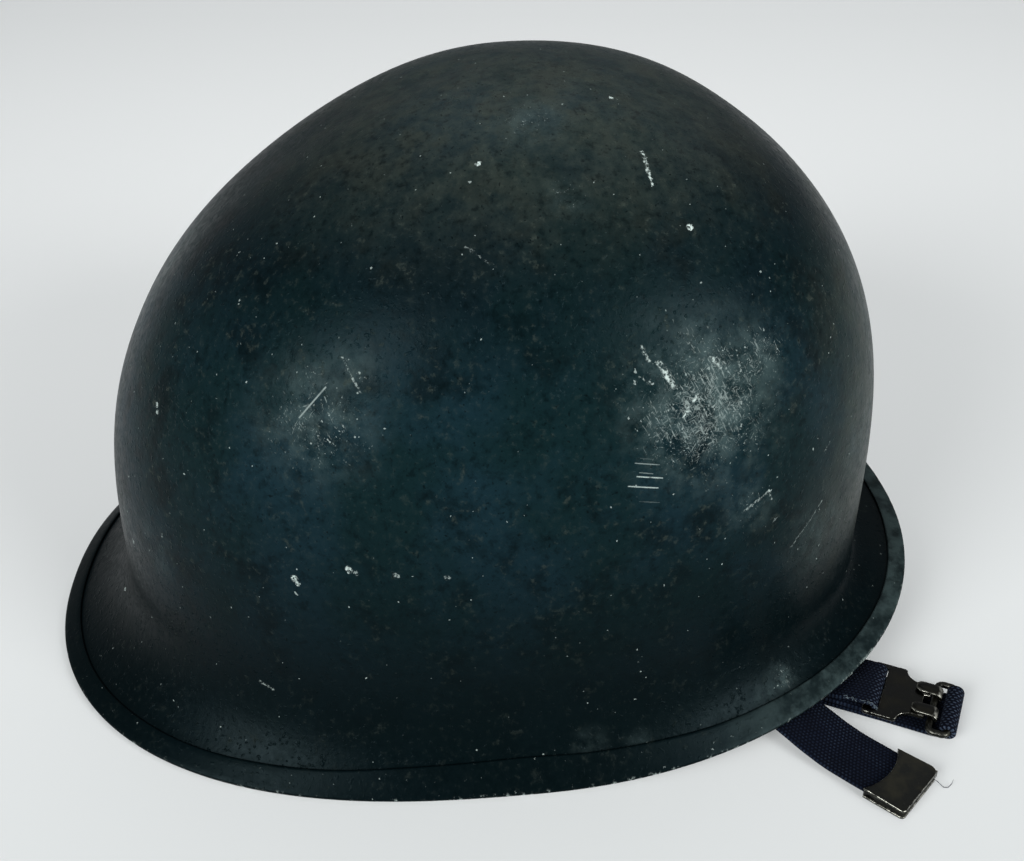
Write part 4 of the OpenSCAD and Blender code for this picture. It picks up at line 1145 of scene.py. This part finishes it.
def laid(place, u, closed=False, scale=1.0):
    """Points and faces of a cord of three twisted strands along a course."""
    ahead = unit(np.roll(place, -1, 0) - np.roll(place, 1, 0)) if closed else ahead_of(place)
    whole = u[-1] + u[1] * closed
    turns = round(whole / 5.2) if closed else whole / 5.2
    sides = 24
    g = np.arange(sides) * 360 / sides
    wave = np.abs(cosd((g * 3 + u[:, None] / whole * turns * 360) / 2))
    radius = LACE_R * scale * (1 - 0.256 * (1 - wave) ** 1.3)
    if not closed:
        radius *= np.minimum(1, 0.5 + np.minimum(u, u[-1] - u) / 1.2)[:, None]
    return tube_sweep(round_rings(place, ahead, UP + np.array([0.05, 0.03, 0]), radius, sides), closed)


def sweat_point(th, d, z):
    return stack((HEAD_HALF_W + d) * sind(th), np.minimum(-(HEAD_HALF_L + d) * cosd(th), FLAT_REAR + d), z)


def sweatband(leather, cotton):
    """A leather band with a rolled upper edge, sewn below the roll."""
    mid, thick = SWEAT_W / 2, LEATHER_T
    face = [(z, thick / 2 * (1 + 0.25 * bell((z - mid + 2) / 1.3) - 0.3 * bell((z - mid + 4.4) / 0.45)))
            for z in np.linspace(mid - 0.7, 0.5 - mid, 40)]
    low = [(-mid + 0.5 * (1 - sind(a)), thick / 2 * cosd(a)) for a in (30, 90, 150)]
    high = [(mid - 0.7 + 0.7 * sind(a), -thick / 2 * cosd(a)) for a in range(30, 151, 30)]
    section = face + low + [(z, -d) for z, d in face[::-1]] + high
    rings = []
    for th in np.arange(0, 360, 1.5):
        here, before, after = (sweat_point(th + step, thick / 2, 0.0) for step in (0, -0.4, 0.4))
        out = unit(np.cross(after - before, UP))
        wave = 0.35 * sind(th * 9) + 0.25 * sind(th * 23 + 40)
        rings.append([here + out * (d + 0.12 * wave * (z / mid) ** 2) + UP * (SWEAT_Z + mid + z)
                      for z, d in section])
    band = tube_sweep(np.array(rings), closed=True)
    make("sweatband_leather", *band, "liner", leather, "sweatband_leather", ["sweatband"])
    rows = []
    for k in range(0, 360, 2):
        a, b = (sweat_point(float(th), 0.0, SWEAT_Z + SWEAT_W - 4.4) for th in (k, k + 1.25))
        inwards = -unit(a * [1, 1, 0])
        rows.append([a + (b - a) * t + inwards * sunk
                     for t, sunk in ((0, -0.18), (0.25, 0.16), (0.5, 0.2), (0.75, 0.16), (1, -0.18))])
    threads("sweatband_stitching", rows, 0.24, cotton, "sweatband_leather", "liner")


def nape_strap(cloth, cotton):
    seat = 0.3 + 0.1 + TAPE_T / 2
    back = FLAT_REAR + LEATHER_T / 2 + (LEATHER_T + 0.6) / 2 + 0.8
    bow = float(wall_point(180.0, NAPE_Z, seat)[1]) - TAPE_T / 2 - NAPE_CLEAR - back
    a = np.linspace(-NAPE_TURN, NAPE_TURN, 60)
    place = wall_point(180 + a, NAPE_Z, seat + bow * cosd(a * 90 / NAPE_TURN) ** 2)
    stations = [[p, UP * TAPE_W / 2, np.cross(aim, UP)] for p, aim in zip(place, ahead_of(place))]
    strap = Ribbon(stations, TAPE_W, TAPE_T, 1.0)
    strap.whole("nape_strap_webbing", cloth, KHAKI, ["nape_strap"])
    rows = []
    for u in (9.0, strap.u[-1] - 9.0):
        p = strap.place[int(np.searchsorted(strap.u, u))]
        inwards = -unit(p * [1, 1, 0])
        rows += stitch_row(p + inwards * (TAPE_T / 2 + 0.02), UP * 7.6, inwards)
    threads("nape_strap_stitching", rows, 0.28, cotton, KHAKI, "liner")


def liner_fibre():
    """Dark olive paint on pressed cloth fibre."""
    look = Look("liner_fibre", Specular_IOR_Level=0.3)
    where = look.where
    patch = where.grain(6, 5, 0.65)
    nicks = where.grain(1.6, 3, 0.6).span(0.70, 0.76)
    lip = where.part(2).span(22, 17) * where.grain(3, 4, 0.7).span(0.45, 0.6)
    look.coat((None, (0.030, 0.036, 0.024)),
              (where.grain(38, 4, 0.6).span(0.36, 0.64), (0.018, 0.024, 0.017)),
              (patch.span(0.5, 0.7, 0, 0.5), (0.055, 0.055, 0.038)),
              (nicks * 0.6, (0.15, 0.12, 0.07)), (lip * 0.55, (0.13, 0.11, 0.07)))
    look.set("Roughness", patch.span(0.3, 0.7, 0.42, 0.62))
    warp, weft, level = [(where.dot(aim) * 4.2).math("SINE")
                         for aim in ((0.7, 0.7, 0.12), (-0.7, 0.7, 0.12), (0.05, 0.05, 1.0))]
    look.emboss(warp * weft * 0.25 + level * 0.12 + where.grain(2.5, 4, 0.6), 0.10)
    return look.material


def leather():
    look = Look("sweatband_leather", Specular_IOR_Level=0.4)
    where = look.where
    cells = look.add("TexVoronoi", {"Vector": where, "Scale": 1 / 0.8}, feature="DISTANCE_TO_EDGE")
    crease = where.stretch(1, 1, 0.3).grain(5, 4, 0.6, 0.7)
    look.coat((None, (0.19, 0.082, 0.030)), (where.grain(22, 4, 0.6).span(0.35, 0.65), (0.105, 0.042, 0.016)),
              (crease.span(0.5, 0.72, 0, 0.5), (0.045, 0.018, 0.009)),
              (cells.span(0.12, 0, 0.0, 0.45), (0.05, 0.02, 0.01)))
    look.set("Roughness", crease.span(0.3, 0.7, 0.38, 0.58))
    look.emboss(cells.span(0.0, 0.25) + crease * 0.8, 0.09)
    return look.material


def worn_metal(name, base, dark, bright, rough=(0.32, 0.5)):
    """Plain hardware with a clouded patina, rubbed along its edges."""
    look = Look(name, Metallic=0.9)
    cloud = look.where.grain(2.6, 5, 0.65)
    rubbed = look.edge(0.45, 4).span(0.985, 0.88) * cloud.span(0.35, 0.6)
    look.coat((None, base), (cloud.span(0.42, 0.66), dark), (rubbed * 0.8, bright))
    look.set("Roughness", cloud.span(0.3, 0.7, *rough))
    look.emboss(look.where.grain(0.6, 3, 0.6), 0.02)
    return look.material


def lace_cotton():
    look = Look("lace_cotton", Roughness=0.9, Specular_IOR_Level=0.2, Sheen_Weight=0.15, Sheen_Roughness=0.5)
    fibre = look.where.stretch(1.4, 1.4, 1.0).grain(0.35, 3, 0.65)
    look.coat((None, (0.20, 0.17, 0.10)), (fibre.span(0.35, 0.68), (0.42, 0.37, 0.25)),
              (look.where.grain(9, 3).span(0.5, 0.7, 0, 0.4), (0.16, 0.12, 0.07)))
    look.emboss(fibre, 0.10)
    return look.material


def liner_parts():
    cotton = thread_cotton("khaki_thread", (0.40, 0.35, 0.22))
    cloth = webbing(KHAKI, (0.055, 0.046, 0.024), (0.20, 0.17, 0.095), (0.36, 0.32, 0.20),
                    fuzz=0.12, dusty=0.25)
    liner_shell(liner_fibre())
    suspension(cloth, cotton)
    crown_lace(lace_cotton())
    sweatband(leather(), cotton)
    nape_strap(cloth, cotton)
    steel = worn_metal("clip_steel", (0.20, 0.20, 0.18), (0.075, 0.072, 0.06), (0.62, 0.62, 0.58))
    brass = worn_metal("rivet_brass", (0.42, 0.30, 0.12), (0.16, 0.11, 0.05), (0.80, 0.66, 0.36))
    washer = worn_metal("washer_steel", (0.10, 0.105, 0.095), (0.045, 0.045, 0.038), (0.50, 0.50, 0.45),
                        (0.36, 0.55))
    for material, *nodes in (
            (brass, "liner_rivets", "nape_rivets", "left_chinstrap_stud", "right_chinstrap_stud"),
            (washer, "suspension_washers"), (steel, "sweatband_clips", "sweatband_buckle")):
        for node in nodes:
            dress(NODES[node], material)


liner_parts()


# Studio: pale floor, soft light and the photographed view

VIEW_TURN, VIEW_RISE, VIEW_ROLL = -94.235, 31.959, -1.504
VIEW_FAR, VIEW_AIM = 404.9, 70.0
AIM_RIGHT, AIM_UP = 5.75, -15.55
SENSOR, LENS = 36.0, 42.6
LAMP_FAR, FLOOR_HALF = 2.2, 3000


def axes_of(turn, rise, roll=0.0):
    """Right, up and back of a viewer at a turn and rise round the object."""
    back = Vector((sind(turn) * cosd(rise), -cosd(turn) * cosd(rise), sind(rise)))
    right = Vector((cosd(turn), sind(turn), 0))
    up = back.cross(right)
    return right * cosd(roll) + up * sind(roll), up * cosd(roll) - right * sind(roll), back


def stand(name, data, place, axes):
    """A camera or lamp at a place in metres, turned to its right, up and back axes."""
    obj = linked(name, data)
    obj.matrix_world = Matrix.Translation(place) @ Matrix(axes).transposed().to_4x4()
    return obj


def add_camera():
    right, up, back = axes_of(VIEW_TURN, VIEW_RISE, VIEW_ROLL)
    place = (Vector((0, 0, VIEW_AIM)) + right * AIM_RIGHT + up * AIM_UP + back * VIEW_FAR) * MM
    camera = stand("photo_camera", bpy.data.cameras.new("photo_camera"), place, (right, up, back))
    camera.data.sensor_width, camera.data.lens = SENSOR, LENS
    camera.data.clip_start, camera.data.clip_end = 0.01, 20
    bpy.context.scene.camera = camera


def add_lamp(name, turn, rise, size, power, spread=180):
    """A soft square lamp that faces the middle of the helmet."""
    axes = axes_of(turn, rise)
    lamp = bpy.data.lights.new(name, "AREA")
    lamp.shape, lamp.size, lamp.energy, lamp.spread = "SQUARE", size, power, math.radians(spread)
    stand(name, lamp, Vector((0, 0, 0.08)) + axes[2] * LAMP_FAR, axes)


def add_studio():
    world = bpy.data.worlds.new("soft_room")
    bpy.context.scene.world = world
    world.use_nodes = True
    colour, strength = world.node_tree.nodes["Background"].inputs[:2]
    colour.default_value, strength.default_value = (0.93, 0.96, 1.0, 1), 0.22
    add_lamp("window_rear", -138, 24, 1.15, 9.5, 70)
    add_lamp("window_front", -46, 20, 1.10, 9.0, 70)
    add_lamp("skylight", 72, 60, 2.4, 12.5)
    look = Look("pale_floor", Roughness=0.85, Specular_IOR_Level=0.2)
    look.coat((None, (0.62, 0.645, 0.645)), (look.where.part(0).span(-380, 420), (0.90, 0.92, 0.92)))
    seen = either(*[look.add("LightPath", out=f"Is {kind} Ray")
                    for kind in ("Camera", "Glossy", "Transmission")])
    glow = look.add("Emission", {"Color": (0.69, 0.715, 0.715), "Strength": 1.0})
    both = look.add("MixShader", {0: seen * 0.35, 1: Flow(look, look.shader.outputs[0]), 2: glow})
    look.put(look.tree.nodes["Material Output"].inputs["Surface"], both)
    corners = [(x * FLOOR_HALF, y * FLOOR_HALF, 0) for x, y in ((-1, -1), (1, -1), (1, 1), (-1, 1))]
    make("floor", corners, [(0, 1, 2, 3)], material=look.material)


add_camera()
add_studio()
bpy.context.scene.view_settings.view_transform = "Standard"
